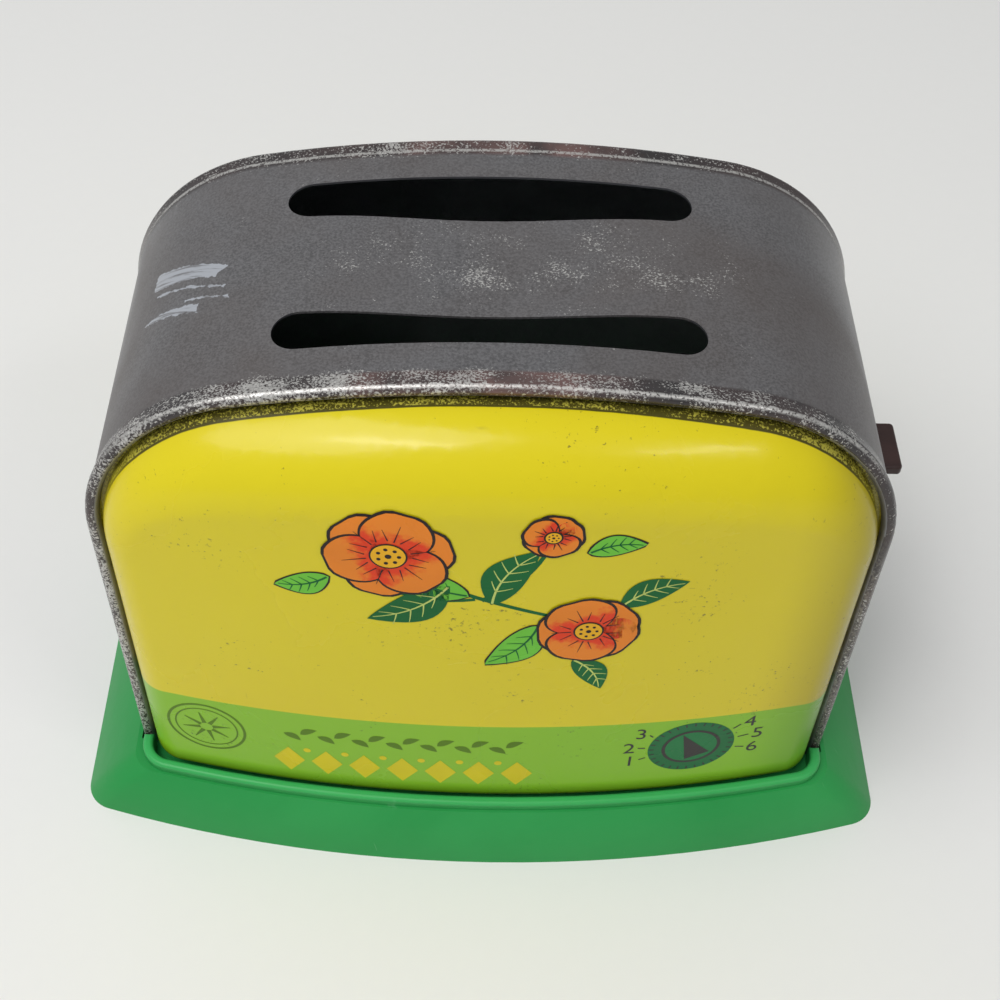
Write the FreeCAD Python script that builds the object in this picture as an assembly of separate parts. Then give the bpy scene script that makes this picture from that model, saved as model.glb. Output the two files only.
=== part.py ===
import FreeCAD, Part
import math
import os

from FreeCAD import Vector

# Toy toaster of pressed tin on a moulded base. Millimetres, +Z up, front is -Y, lever on +X.
# The origin is on the table, under the middle of the object.

# Arched wrap
BODY_HALF_W = 65.0
BODY_TOP = 107.3
SHOULDER_R = 31.0
CROWN_R = 223.0
TIN = 0.4
SKIN_HALF_Y = 25.6

# Rolled bead along the front and rear edges of the wrap
BEAD_R = 1.2
BEAD_PROUD = 0.5
BEAD_RAMP = 3.1
BEAD_Y = SKIN_HALF_Y + BEAD_RAMP

# Bread slots and the sunk bridge between them
SLOT_HALF_LEN = 33.4
SLOT_W = 8.4
SLOT_Y = 15.7
SLOT_SHIFT = -0.7
BRIDGE_SAG = 2.6

# Domed front and rear panels
PANEL_INSET = 2.6
PANEL_DEPTH = 14.5
PANEL_BOTTOM = 9.6
PANEL_SIDE_R = 6.4
PANEL_TOP_R = 13.6
PANEL_FOOT_R = 3.6
FLANGE_SET = 1.2
FLANGE_Y = BEAD_Y - FLANGE_SET
FLANGE_TUCK = 0.55
PANEL_FRONT_Y = FLANGE_Y + PANEL_DEPTH

# Moulded base
BASE_FLARE = 11.9
BASE_HALF_W = BODY_HALF_W + BASE_FLARE
BASE_FRONT_FLARE = 7.8
BASE_FRONT_Y = PANEL_FRONT_Y + BASE_FRONT_FLARE
BASE_CORNER_R = 6.0
BOW_R = 271.0
SHOULDER_SIDE = 1.6
SHOULDER_FRONT = 2.9
BASE_TOP_HALF_W = BODY_HALF_W + SHOULDER_SIDE
BASE_TOP_FRONT_Y = PANEL_FRONT_Y + SHOULDER_FRONT
BASE_TOP_CORNER_R = 5.2
DECK_TOP = 8.0
DECK_T = 2.0
POCKET_DEPTH = 2.4
BASE_SHOULDER = DECK_TOP + POCKET_DEPTH
SKIRT_BULGE = 0.9
BASE_WALL = 2.0
LIP_SIDE = -0.9
LIP_GAP = 1.4
LIP_HALF_W = BODY_HALF_W + LIP_SIDE
LIP_Y = PANEL_FRONT_Y + LIP_GAP
LIP_CORNER_R = 5.0
LIP_T = 2.0
LIP_H = 4.5
LIP_TOP = DECK_TOP + LIP_H
LIP_ROUND = 0.8
POCKET_GAP = 0.3
RIB_X = 24.0
RIB_T = 1.6
RIB_FOOT = 2.5

# Tabs that hold the tin body to the base
TAB_W = 7.0
TAB_FOLD = 5.0
TAB_GAP = 0.25
WRAP_TAB_Y = 16.0
PANEL_TAB_X = 36.0

# Carriage, its guides and its travel
STROKE = 28.0
CARRIAGE_Z = 50.0
PLATE = 0.8
WEB_SET = 9.0
ROD_SET = 13.0
BRACKET_WEB_X = BODY_HALF_W - WEB_SET
ROD_X = BRACKET_WEB_X - ROD_SET
ROD_R = 1.25
RUN_GAP = 0.06
FOOT_REACH = 5.5
BRACKET_INNER_X = ROD_X - FOOT_REACH
BRACKET_W = 14.0
BRACKET_TOP = 88.0
BEND_R = 0.8

# Trays
TRAY_W = 7.4
TRAY_H = 5.0
TRAY_T = 0.5
TRAY_OVER = 0.2
TRAY_HALF_LEN = SLOT_HALF_LEN + TRAY_OVER
TONGUE_REACH = 3.4
TONGUE_END = ROD_X + TONGUE_REACH
TONGUE_W = 6.4
BAR_W = 9.0
BAR_REACH = 5.0
BAR_CORNER_R = 2.0
BAR_INNER_X = ROD_X - BAR_REACH
BAR_HALF_Y = SLOT_Y + TRAY_W / 2
BAR_COLLAR = 2.4
COLLAR_T = 0.6

# Lever arm and knob
ARM_W = 3.6
ARM_T = 0.8
RISER_SET = 8.4
ARM_RISE = 14.2
ARM_RISER_X = ROD_X + RISER_SET
ARM_Z = CARRIAGE_Z + ARM_RISE
STOP_GAP = 0.05
WALL_SLOT_GAP = 0.4
KNOB_LEN = 7.1
KNOB_W = 11.0
KNOB_T = 2.0
KNOB_GAP = 1.0
KNOB_X = BODY_HALF_W + KNOB_GAP
KNOB_GRIP = 5.1
ARM_TIP_X = KNOB_X + KNOB_GRIP
KNOB_CORNER_R = 0.8
KNOB_EDGE_R = 0.5
ARM_FOOT_HALF_Y = 9.0

# Small fixings
RIVET_R = 1.2
RIVET_HEAD_R = 2.0
RIVET_HEAD_H = 0.8
LEVER_RIVET_Y = 6.6
SCREW_R = 1.1
SCREW_HEAD_R = 2.0
SCREW_HEAD_H = 1.3
SCREW_LEN = 7.0
SCREW_SET = 7.0
SCREW_X = ROD_X + SCREW_SET
SCREW_Y = 4.9
BOSS_R = 3.2
BOSS_FOOT = 1.2
NUT_R = 3.2
NUT_T = 0.5

# Return springs
WIRE = 0.8
SPRING_R = 2.9
SPRING_TURNS = 10

# Catch jaws that pinch the tab of the right cross bar when the carriage is down
JAW_TAB_X = SCREW_X
JAW_TAB_W = 4.0
JAW_TAB_LEN = 11.5
JAW_T = 0.4
JAW_W = 5.0
JAW_GAP = 0.05
JAW_FOOT_HALF = 2.6
JAW_PINCH_H = 7.4
JAW_TIP_H = 10.4

Y = Vector(0, 1, 0)
Z = Vector(0, 0, 1)
BIG = 400.0
OVER = 5.0

os.makedirs("parts", exist_ok=True)


def box(x0, x1, y0, y1, z0, z1):
    return Part.makeBox(x1 - x0, y1 - y0, z1 - z0, Vector(x0, y0, z0))


def rod(x, y, z0, z1, r):
    return Part.makeCylinder(r, z1 - z0, Vector(x, y, z0), Z)


def turned(shape):
    """The same piece used again, turned half round about Z."""
    copy = shape.copy()
    copy.rotate(Vector(0, 0, 0), Z, 180)
    return copy


def one(shape):
    shape = shape.removeSplitter()
    if len(shape.Solids) != 1:
        raise RuntimeError("expected one solid, found %d" % len(shape.Solids))
    return shape.Solids[0]


def fused(pieces):
    return pieces[0].fuse(pieces[1:])


# Arch outline, in a plane of constant y

def crown_centre_z():
    return BODY_TOP - CROWN_R


def shoulder_centre():
    x = BODY_HALF_W - SHOULDER_R
    z = crown_centre_z() + math.sqrt((CROWN_R - SHOULDER_R) ** 2 - x * x)
    return x, z


def arch_edges(inset, foot, y):
    """Left foot over the arch to the right foot, a given inset inside the outer skin."""
    sx, sz = shoulder_centre()
    cz = crown_centre_z()
    half = BODY_HALF_W - inset
    r = SHOULDER_R - inset
    crown = CROWN_R - inset
    lean = math.atan2(sx, sz - cz)
    tangent = Vector(crown * math.sin(lean), y, cz + crown * math.cos(lean))
    mid = Vector(sx + r * math.cos(math.pi / 4), y, sz + r * math.sin(math.pi / 4))
    start = Vector(half, y, sz)
    mirror = lambda p: Vector(-p.x, p.y, p.z)
    return [
        Part.makeLine(Vector(-half, y, foot), mirror(start)),
        Part.Arc(mirror(start), mirror(mid), mirror(tangent)).toShape(),
        Part.Arc(mirror(tangent), Vector(0, y, cz + crown), tangent).toShape(),
        Part.Arc(tangent, mid, start).toShape(),
        Part.makeLine(start, Vector(half, y, foot)),
    ]


def arch_prism(inset, foot, y0, y1):
    edges = arch_edges(inset, foot, y0)
    ends = [edges[0].Vertexes[0].Point, edges[-1].Vertexes[-1].Point]
    edges.append(Part.makeLine(ends[1], ends[0]))
    return Part.Face(Part.Wire(edges)).extrude(Vector(0, y1 - y0, 0))


def arch_top(x):
    """Height of the outer skin over the crown."""
    return crown_centre_z() + math.sqrt(CROWN_R ** 2 - x * x)


# Plan outline with bowed front and rear, straight sides and round corners

def plan_wire(half, front, corner, z):
    r = BOW_R
    cy = r - front
    ky = cy - math.sqrt((r - corner) ** 2 - (half - corner) ** 2)
    kx = half - corner
    lean = math.atan2(kx, cy - ky)
    bow_end = Vector(r * math.sin(lean), cy - r * math.cos(lean), z)
    side = Vector(half, ky, z)
    turn = (math.pi / 2 - lean) / 2 + lean
    mid = Vector(kx + corner * math.sin(turn), ky - corner * math.cos(turn), z)
    mx = lambda p: Vector(-p.x, p.y, p.z)
    my = lambda p: Vector(p.x, -p.y, p.z)
    mxy = lambda p: Vector(-p.x, -p.y, p.z)
    nose = Vector(0, -front, z)
    return Part.Wire([
        Part.Arc(mx(bow_end), nose, bow_end).toShape(),
        Part.Arc(bow_end, mid, side).toShape(),
        Part.makeLine(side, my(side)),
        Part.Arc(my(side), my(mid), my(bow_end)).toShape(),
        Part.Arc(my(bow_end), my(nose), mxy(bow_end)).toShape(),
        Part.Arc(mxy(bow_end), mxy(mid), mxy(side)).toShape(),
        Part.makeLine(mxy(side), mx(side)),
        Part.Arc(mx(side), mx(mid), mx(bow_end)).toShape(),
    ])


def plan_prism(half, front, corner, z0, z1):
    return Part.Face(plan_wire(half, front, corner, z0)).extrude(Vector(0, 0, z1 - z0))


def stadium(x, y, half_len, width, z0, z1):
    """Upright prism with round ends, long in X."""
    r = width / 2
    reach = half_len - r
    middle = box(x - reach, x + reach, y - r, y + r, z0, z1)
    return fused([middle, rod(x - reach, y, z0, z1, r), rod(x + reach, y, z0, z1, r)])


# Bent strips

def bent_face(points, t, bend):
    """Face in the XZ plane round a strip of thickness t whose middle line follows points."""
    rc = bend + t / 2
    legs = []
    for a, b in zip(points, points[1:]):
        legs.append(Vector(b[0] - a[0], 0, b[1] - a[1]).normalize())
    corners = []
    for i in range(1, len(points) - 1):
        p = Vector(points[i][0], 0, points[i][1])
        before, after = legs[i - 1], legs[i]
        cross = before.z * after.x - before.x * after.z
        angle = before.getAngle(after)
        back = rc * math.tan(angle / 2)
        corners.append((p - before * back, p + after * back, before, after, cross))

    def side(sign):
        offset = lambda leg: Vector(-leg.z, 0, leg.x) * (sign * t / 2)
        edges = []
        last = Vector(points[0][0], 0, points[0][1]) + offset(legs[0])
        for start, end, before, after, cross in corners:
            a, b = start + offset(before), end + offset(after)
            edges.append(Part.makeLine(last, a))
            turn = 1.0 if cross < 0 else -1.0
            centre = start + Vector(-before.z, 0, before.x) * (turn * rc)
            radius = (a - centre).Length
            middle = ((a - centre) + (b - centre)).normalize()
            edges.append(Part.Arc(a, centre + middle * radius, b).toShape())
            last = b
        tip = Vector(points[-1][0], 0, points[-1][1]) + offset(legs[-1])
        edges.append(Part.makeLine(last, tip))
        return edges

    left, right = side(1), side(-1)
    caps = [
        Part.makeLine(left[0].Vertexes[0].Point, right[0].Vertexes[0].Point),
        Part.makeLine(left[-1].Vertexes[-1].Point, right[-1].Vertexes[-1].Point),
    ]
    return Part.Face(Part.Wire(Part.__sortEdges__(left + right + caps)))


def bent_strip(points, t, bend, y0, y1):
    face = bent_face(points, t, bend)
    face.translate(Vector(0, y0, 0))
    return face.extrude(Vector(0, y1 - y0, 0))


# Body of tin

def deck_underside():
    return DECK_TOP - DECK_T


def fold_tab(half_line):
    """Tab that drops through the base and is folded inwards under it, at plus x."""
    low = deck_underside() - TIN / 2 - TAB_GAP
    points = [(half_line, DECK_TOP + 1.0), (half_line, low), (half_line - TAB_FOLD, low)]
    return bent_strip(points, TIN, TIN, -TAB_W / 2, TAB_W / 2)


def bead():
    """Hollow roll of the wrap's front edge, carried along the arch."""
    path = Part.Wire(arch_edges(0.0, DECK_TOP, -BEAD_Y))
    foot_x = -BODY_HALF_W
    roll_x = foot_x - BEAD_PROUD + BEAD_R
    inner = BEAD_R - TIN

    def at(radius, degrees):
        a = math.radians(degrees)
        return Vector(roll_x - radius * math.cos(a), -BEAD_Y - radius * math.sin(a), DECK_TOP)

    skin = Vector(foot_x, -SKIN_HALF_Y, DECK_TOP)
    skin_in = Vector(foot_x + TIN, -SKIN_HALF_Y, DECK_TOP)
    curl_end = 178.0
    profile = Part.Wire([
        Part.makeLine(skin, at(BEAD_R, -8)),
        Part.Arc(at(BEAD_R, -8), at(BEAD_R, 85), at(BEAD_R, curl_end)).toShape(),
        Part.makeLine(at(BEAD_R, curl_end), at(inner, curl_end)),
        Part.Arc(at(inner, curl_end), at(inner, 85), at(inner, -8)).toShape(),
        Part.makeLine(at(inner, -8), skin_in),
        Part.makeLine(skin_in, skin),
    ])
    sweep = Part.BRepOffsetAPI.MakePipeShell(path)
    sweep.setBiNormalMode(Y)
    sweep.add(profile)
    sweep.build()
    sweep.makeSolid()
    return sweep.shape()


def bridge():
    """Strip between the slots, whose crown is pressed down along the middle."""
    def outer(x):
        from_middle = (x - SLOT_SHIFT) / SLOT_HALF_LEN
        lowered = BRIDGE_SAG * math.cos(math.pi * from_middle / 2) ** 2
        return arch_top(x) - lowered

    count = 12
    first = SLOT_SHIFT - SLOT_HALF_LEN
    xs = [first + 2 * SLOT_HALF_LEN * i / count for i in range(count + 1)]
    top = Part.BSplineCurve()
    bottom = Part.BSplineCurve()
    top.interpolate([Vector(x, -SLOT_Y, outer(x)) for x in xs])
    bottom.interpolate([Vector(x, -SLOT_Y, outer(x) - TIN) for x in xs])
    ends = [
        Part.makeLine(top.StartPoint, bottom.StartPoint),
        Part.makeLine(top.EndPoint, bottom.EndPoint),
    ]
    edges = [top.toShape(), ends[1], bottom.toShape(), ends[0]]
    face = Part.Face(Part.Wire(Part.__sortEdges__(edges)))
    return face.extrude(Vector(0, 2 * SLOT_Y, 0))


def make_wrap():
    skin = arch_prism(0.0, DECK_TOP, -SKIN_HALF_Y, SKIN_HALF_Y)
    skin = skin.cut(arch_prism(TIN, DECK_TOP - 1, -SKIN_HALF_Y - 1, SKIN_HALF_Y + 1))
    low, high = BODY_TOP - SHOULDER_R / 2, BODY_TOP + OVER
    left, right = SLOT_SHIFT - SLOT_HALF_LEN, SLOT_SHIFT + SLOT_HALF_LEN
    window = box(left, right, -SLOT_Y, SLOT_Y, low, high)
    wrap = fused([skin.cut(window), bridge()])
    for y in (-SLOT_Y, SLOT_Y):
        wrap = wrap.cut(stadium(SLOT_SHIFT, y, SLOT_HALF_LEN, SLOT_W, low, high))
    front = bead()
    wrap = fused([wrap, front, turned(front)])
    wrap = wrap.cut(lever_slot(BODY_HALF_W - 2, BODY_HALF_W + 2, WALL_SLOT_GAP))
    for y in (-WRAP_TAB_Y, WRAP_TAB_Y):
        tab = fold_tab(BODY_HALF_W - TIN / 2)
        tab.translate(Vector(0, y, 0))
        wrap = wrap.fuse([tab, turned(tab)])
    return one(wrap)


def lever_slot(x0, x1, gap):
    """Upright opening that the lever arm travels in, wider than the arm by a gap all round."""
    half = ARM_W / 2 + gap
    low = ARM_Z - STROKE - ARM_T / 2 - gap
    high = ARM_Z + ARM_T / 2 + gap
    return box(x0, x1, -half, half, low, high)


def dome(skin):
    """Front panel's dome as a full solid, a skin thickness inside its outer face."""
    inset = PANEL_INSET + skin
    foot = PANEL_BOTTOM + skin
    body = arch_prism(inset, foot, -PANEL_FRONT_Y - OVER, -FLANGE_Y)
    r = BOW_R - skin
    round_bow = Part.makeCylinder(r, BIG, Vector(0, BOW_R - PANEL_FRONT_Y, -BIG / 2), Z)
    body = body.common(round_bow)
    body = rounded_rim(body, skin, foot)
    sill = []
    for edge in body.Edges:
        span = edge.BoundBox
        if span.ZMax < foot + TIN and span.YMax < -FLANGE_Y - TIN and span.XLength > SHOULDER_R:
            sill.append(edge)
    return body.makeFillet(PANEL_FOOT_R - skin, sill)


def rounded_rim(body, skin, foot):
    """Rounds the dome's front rim, tightly down the sides and widely over the top."""
    low = shoulder_centre()[1]
    high = arch_top(shoulder_centre()[0]) - PANEL_INSET - SHOULDER_R / 4

    def radius(point):
        share = min(1.0, max(0.0, (point.z - low) / (high - low)))
        return PANEL_SIDE_R + (PANEL_TOP_R - PANEL_SIDE_R) * share - skin

    edges = []
    for index, edge in enumerate(body.Edges):
        span = edge.BoundBox
        if span.YMax < -FLANGE_Y - TIN and span.ZMax > foot + TIN:
            first, last = edge.Vertexes[0].Point, edge.Vertexes[-1].Point
            if first.x > last.x:
                first, last = last, first
            edges.append((index + 1, radius(first), radius(last)))
    work = FreeCAD.newDocument("rim")
    blank = work.addObject("Part::Feature", "blank")
    blank.Shape = body
    rim = work.addObject("Part::Fillet", "rim")
    rim.Base = blank
    rim.Edges = edges
    work.recompute()
    shape = rim.Shape.copy()
    FreeCAD.closeDocument(work.Name)
    return shape


def make_panel():
    shell = dome(0.0).cut(dome(TIN))
    rim = arch_prism(FLANGE_TUCK, DECK_TOP, -FLANGE_Y - TIN, -FLANGE_Y)
    panel = fused([shell, rim.cut(dome(TIN))])
    tab = fold_tab(0.0)
    tab.rotate(Vector(0, 0, 0), Z, -90)
    tab.translate(Vector(0, -FLANGE_Y - TIN / 2, 0))
    for x in (-PANEL_TAB_X, PANEL_TAB_X):
        copy = tab.copy()
        copy.translate(Vector(x, 0, 0))
        panel = panel.fuse(copy)
    return one(panel)


# Moulded base

def skirt(wall, top):
    """Solid under the sloped skirt, a wall thickness inside its outer face."""
    half = BASE_TOP_HALF_W - wall
    front = BASE_TOP_FRONT_Y - wall
    full = BASE_SHOULDER
    wires = []
    for share in (0.0, 0.5, 1.0):
        z = full * share
        swell = SKIRT_BULGE * 4 * share * (1 - share)
        w = BASE_HALF_W - wall + (half - BASE_HALF_W + wall) * share + swell
        f = BASE_FRONT_Y - wall + (front - BASE_FRONT_Y + wall) * share + swell * 0.8
        c = BASE_CORNER_R - wall + (BASE_TOP_CORNER_R - BASE_CORNER_R) * share
        wires.append(plan_wire(w, f, c, z))
    solid = Part.makeLoft(wires, True, False)
    return solid.common(box(-BIG, BIG, -BIG, BIG, -1, top))


def make_base():
    base = skirt(0.0, BASE_SHOULDER + 1).cut(skirt(BASE_WALL, DECK_TOP - DECK_T))
    inner = LIP_T / 2
    high = BASE_SHOULDER + OVER
    pocket = plan_prism(LIP_HALF_W - inner, LIP_Y - inner, LIP_CORNER_R - inner, DECK_TOP, high)
    sides = box(
        -BODY_HALF_W - POCKET_GAP - BEAD_PROUD,
        BODY_HALF_W + POCKET_GAP + BEAD_PROUD,
        -BEAD_Y - BEAD_R - POCKET_GAP,
        BEAD_Y + BEAD_R + POCKET_GAP,
        DECK_TOP,
        high,
    )
    base = base.cut(fused([pocket, sides]))
    base = base.fuse(make_lip())
    base = base.fuse(ribs_and_bosses())
    base = base.cut(tab_slots())
    for x, y in screw_places():
        base = base.cut(rod(x, y, DECK_TOP - SCREW_LEN, DECK_TOP + 1, SCREW_R))
    return one(base)


def make_lip():
    """Rounded fence round the foot of each panel, ending beside the beads."""
    outer = LIP_T / 2
    low = DECK_TOP - 0.5
    ring = plan_prism(LIP_HALF_W + outer, LIP_Y + outer, LIP_CORNER_R + outer, low, LIP_TOP)
    ring = ring.cut(
        plan_prism(LIP_HALF_W - outer, LIP_Y - outer, LIP_CORNER_R - outer, low - 1, LIP_TOP + 1)
    )
    gap = BEAD_Y + BEAD_R + POCKET_GAP
    ring = ring.cut(box(-BIG, BIG, -gap, gap, low - 1, LIP_TOP + 1))
    crest = [e for e in ring.Edges if e.BoundBox.ZMin > LIP_TOP - 0.01]
    return ring.makeFillet(LIP_ROUND, crest)


def ribs_and_bosses():
    under = deck_underside() + DECK_T / 2
    half = RIB_T / 2
    pieces = []
    for x in (-RIB_X, RIB_X):
        pieces.append(box(x - half, x + half, -BASE_FRONT_Y, BASE_FRONT_Y, RIB_FOOT, under))
    ribs = fused(pieces).common(skirt(BASE_WALL / 2, under))
    bosses = [rod(x, y, BOSS_FOOT, under, BOSS_R) for x, y in screw_places()]
    return fused([ribs] + bosses)


def screw_places():
    return [(sx * SCREW_X, sy * SCREW_Y) for sx in (-1, 1) for sy in (-1, 1)]


def tab_slots():
    half = TAB_W / 2 + TAB_GAP
    low, high = DECK_TOP - DECK_T - 1, DECK_TOP + 0.5
    x = BODY_HALF_W - TIN / 2
    y = FLANGE_Y + TIN / 2
    reach = TIN / 2 + TAB_GAP
    cuts = []
    for sx in (-1, 1):
        for sy in (-1, 1):
            cy = sy * WRAP_TAB_Y
            cuts.append(box(sx * x - reach, sx * x + reach, cy - half, cy + half, low, high))
            cx = sx * PANEL_TAB_X
            cuts.append(box(cx - half, cx + half, sy * y - reach, sy * y + reach, low, high))
    return fused(cuts)


# Guides

def make_bracket():
    """Right-hand guide: foot on the base, upright web, top flange with the rod's hole."""
    web = BRACKET_WEB_X - PLATE / 2
    foot = DECK_TOP + PLATE / 2
    top = BRACKET_TOP - PLATE / 2
    points = [(BRACKET_INNER_X, foot), (web, foot), (web, top), (BRACKET_INNER_X, top)]
    bracket = bent_strip(points, PLATE, BEND_R, -BRACKET_W / 2, BRACKET_W / 2)
    bracket = bracket.cut(lever_slot(web - 2, web + 2, STOP_GAP))
    bracket = bracket.cut(rod(ROD_X, 0, DECK_TOP - 1, BRACKET_TOP + 1, ROD_R))
    for y in (-SCREW_Y, SCREW_Y):
        bracket = bracket.cut(rod(SCREW_X, y, DECK_TOP - 1, DECK_TOP + 2, SCREW_R))
    return one(bracket)


def make_rod():
    tip = 0.4
    pin = rod(ROD_X, 0, DECK_TOP, BRACKET_TOP + 3.0, ROD_R)
    return one(pin.makeChamfer(tip, [e for e in pin.Edges if e.BoundBox.ZMin > BRACKET_TOP]))


def make_nut():
    """Push nut on the top end of a rod: a dished disc with a collar."""
    disc = rod(ROD_X, 0, BRACKET_TOP, BRACKET_TOP + NUT_T, NUT_R)
    collar = Part.makeCone(
        ROD_R + 1.1, ROD_R + 0.5, 1.2, Vector(ROD_X, 0, BRACKET_TOP + NUT_T - 0.1), Z
    )
    return one(disc.fuse(collar).cut(rod(ROD_X, 0, BRACKET_TOP - 1, BRACKET_TOP + 4, ROD_R)))


def make_screw(x, y, seat):
    shank_foot = seat - SCREW_LEN + 1.2
    shank = rod(x, y, shank_foot, seat, SCREW_R)
    head = rod(x, y, seat, seat + SCREW_HEAD_H, SCREW_HEAD_R)
    crown = [e for e in head.Edges if e.BoundBox.ZMin > seat + SCREW_HEAD_H - 0.01]
    head = head.makeFillet(0.5, crown)
    depth, wide, long_ = 0.6, 0.28, 1.1
    low, high = seat + SCREW_HEAD_H - depth, seat + SCREW_HEAD_H + 1
    cross = fused([
        box(x - wide, x + wide, y - long_, y + long_, low, high),
        box(x - long_, x + long_, y - wide, y + wide, low, high),
    ])
    return one(shank.fuse(head).cut(cross))


# Carriage

def tray_floor():
    return CARRIAGE_Z + PLATE


def make_tray(y):
    floor = tray_floor()
    half = TRAY_W / 2
    tray = box(-TRAY_HALF_LEN, TRAY_HALF_LEN, y - half, y + half, floor, floor + TRAY_H)
    hollow = box(
        -TRAY_HALF_LEN - 1,
        TRAY_HALF_LEN + 1,
        y - half + TRAY_T,
        y + half - TRAY_T,
        floor + TRAY_T,
        floor + TRAY_H + 1,
    )
    folds = [e for e in tray.Edges if e.BoundBox.ZMax < floor + 0.1 and e.BoundBox.XLength > TRAY_HALF_LEN]
    tray = tray.makeFillet(TRAY_T, folds).cut(hollow)
    tongue = stadium(0, y, TONGUE_END, TONGUE_W, floor, floor + TRAY_T)
    tray = tray.fuse(tongue)
    for x in (-ROD_X, ROD_X):
        tray = tray.cut(rod(x, y, floor - 1, floor + 2, RIVET_R))
    return one(tray)


def make_bar(with_tab):
    """Right-hand cross bar with a collar that runs on the guide rod."""
    low, high = CARRIAGE_Z, CARRIAGE_Z + PLATE
    outer_x = BAR_INNER_X + BAR_W
    plate = box(BAR_INNER_X, outer_x, -BAR_HALF_Y, BAR_HALF_Y, low, high)
    corners = [e for e in plate.Edges if e.BoundBox.ZLength > PLATE / 2]
    bar = plate.makeFillet(BAR_CORNER_R, corners)
    bar = bar.fuse(rod(ROD_X, 0, low - BAR_COLLAR, low + PLATE / 2, ROD_R + RUN_GAP + COLLAR_T))
    if with_tab:
        mid = low + PLATE / 2
        points = [(outer_x - 2, mid), (JAW_TAB_X, mid), (JAW_TAB_X, mid - JAW_TAB_LEN)]
        bar = bar.fuse(bent_strip(points, PLATE, BEND_R / 2, -JAW_TAB_W / 2, JAW_TAB_W / 2))
        for y in (-LEVER_RIVET_Y, LEVER_RIVET_Y):
            bar = bar.cut(rod(ROD_X, y, low - 1, high + 1, RIVET_R))
    bar = bar.cut(rod(ROD_X, 0, low - OVER, high + 1, ROD_R + RUN_GAP))
    for y in (-SLOT_Y, SLOT_Y):
        bar = bar.cut(rod(ROD_X, y, low - 1, high + 1, RIVET_R))
    return one(bar)


def make_rivet(y, top):
    """Round-headed rivet through the cross bar, its stack ending at a given top."""
    clench = 0.5
    shank = rod(ROD_X, y, CARRIAGE_Z - clench, top + 0.1, RIVET_R)
    ball_r = (RIVET_HEAD_R ** 2 + RIVET_HEAD_H ** 2) / (2 * RIVET_HEAD_H)
    ball = Part.makeSphere(ball_r, Vector(ROD_X, y, top + RIVET_HEAD_H - ball_r))
    head = ball.common(rod(ROD_X, y, top, top + RIVET_HEAD_H + 1, RIVET_HEAD_R + 1))
    foot = rod(ROD_X, y, CARRIAGE_Z - clench, CARRIAGE_Z, RIVET_R + 0.5)
    return one(fused([shank, head, foot]))


def make_arm():
    floor = CARRIAGE_Z + PLATE
    end = BAR_INNER_X + BAR_W
    foot = box(BAR_INNER_X + 1, end, -ARM_FOOT_HALF_Y, ARM_FOOT_HALF_Y, floor, floor + ARM_T)
    foot = foot.makeFillet(BAR_CORNER_R, [e for e in foot.Edges if e.BoundBox.ZLength > ARM_T / 2])
    mid = floor + ARM_T / 2
    points = [
        (BAR_INNER_X + 4, mid), (ARM_RISER_X, mid), (ARM_RISER_X, ARM_Z), (ARM_TIP_X, ARM_Z)
    ]
    arm = foot.fuse(bent_strip(points, ARM_T, BEND_R, -ARM_W / 2, ARM_W / 2))
    arm = arm.cut(rod(ROD_X, 0, floor - 1, floor + 2, ROD_R + COLLAR_T))
    for y in (-LEVER_RIVET_Y, LEVER_RIVET_Y):
        arm = arm.cut(rod(ROD_X, y, floor - 1, floor + 2, RIVET_R))
    return one(arm)


def make_knob():
    knob = box(
        KNOB_X, KNOB_X + KNOB_LEN, -KNOB_W / 2, KNOB_W / 2, ARM_Z - KNOB_T / 2, ARM_Z + KNOB_T / 2
    )
    upright = [e for e in knob.Edges if e.BoundBox.ZLength > KNOB_T / 2]
    knob = knob.makeFillet(KNOB_CORNER_R, upright)
    rims = [e for e in knob.Edges if e.BoundBox.ZLength < 0.01]
    knob = knob.makeFillet(KNOB_EDGE_R, rims)
    half = ARM_W / 2
    pocket = box(KNOB_X - 1, ARM_TIP_X, -half, half, ARM_Z - ARM_T / 2, ARM_Z + ARM_T / 2)
    return one(knob.cut(pocket))


# Springs

def biarc(p0, t0, p1, t1):
    """Two arcs that leave p0 along t0 and reach p1 along t1."""
    v = p1 - p0
    t = t0 + t1
    k = 2 * (1 - t0.dot(t1))
    d = (math.sqrt(v.dot(t) ** 2 + k * v.dot(v)) - v.dot(t)) / k
    q0, q1 = p0 + t0 * d, p1 - t1 * d
    join = (q0 + q1) * 0.5

    def arc(a, corner, b):
        middle = (a + b) * 0.5
        half = (b - a).Length / 2
        lean = math.acos(min(1.0, half / (corner - a).Length))
        up = (corner - middle).normalize()
        return Part.Arc(a, middle + up * (half * math.tan(lean / 2)), b).toShape()

    return [arc(p0, q0, join), arc(join, q1, p1)]


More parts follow.
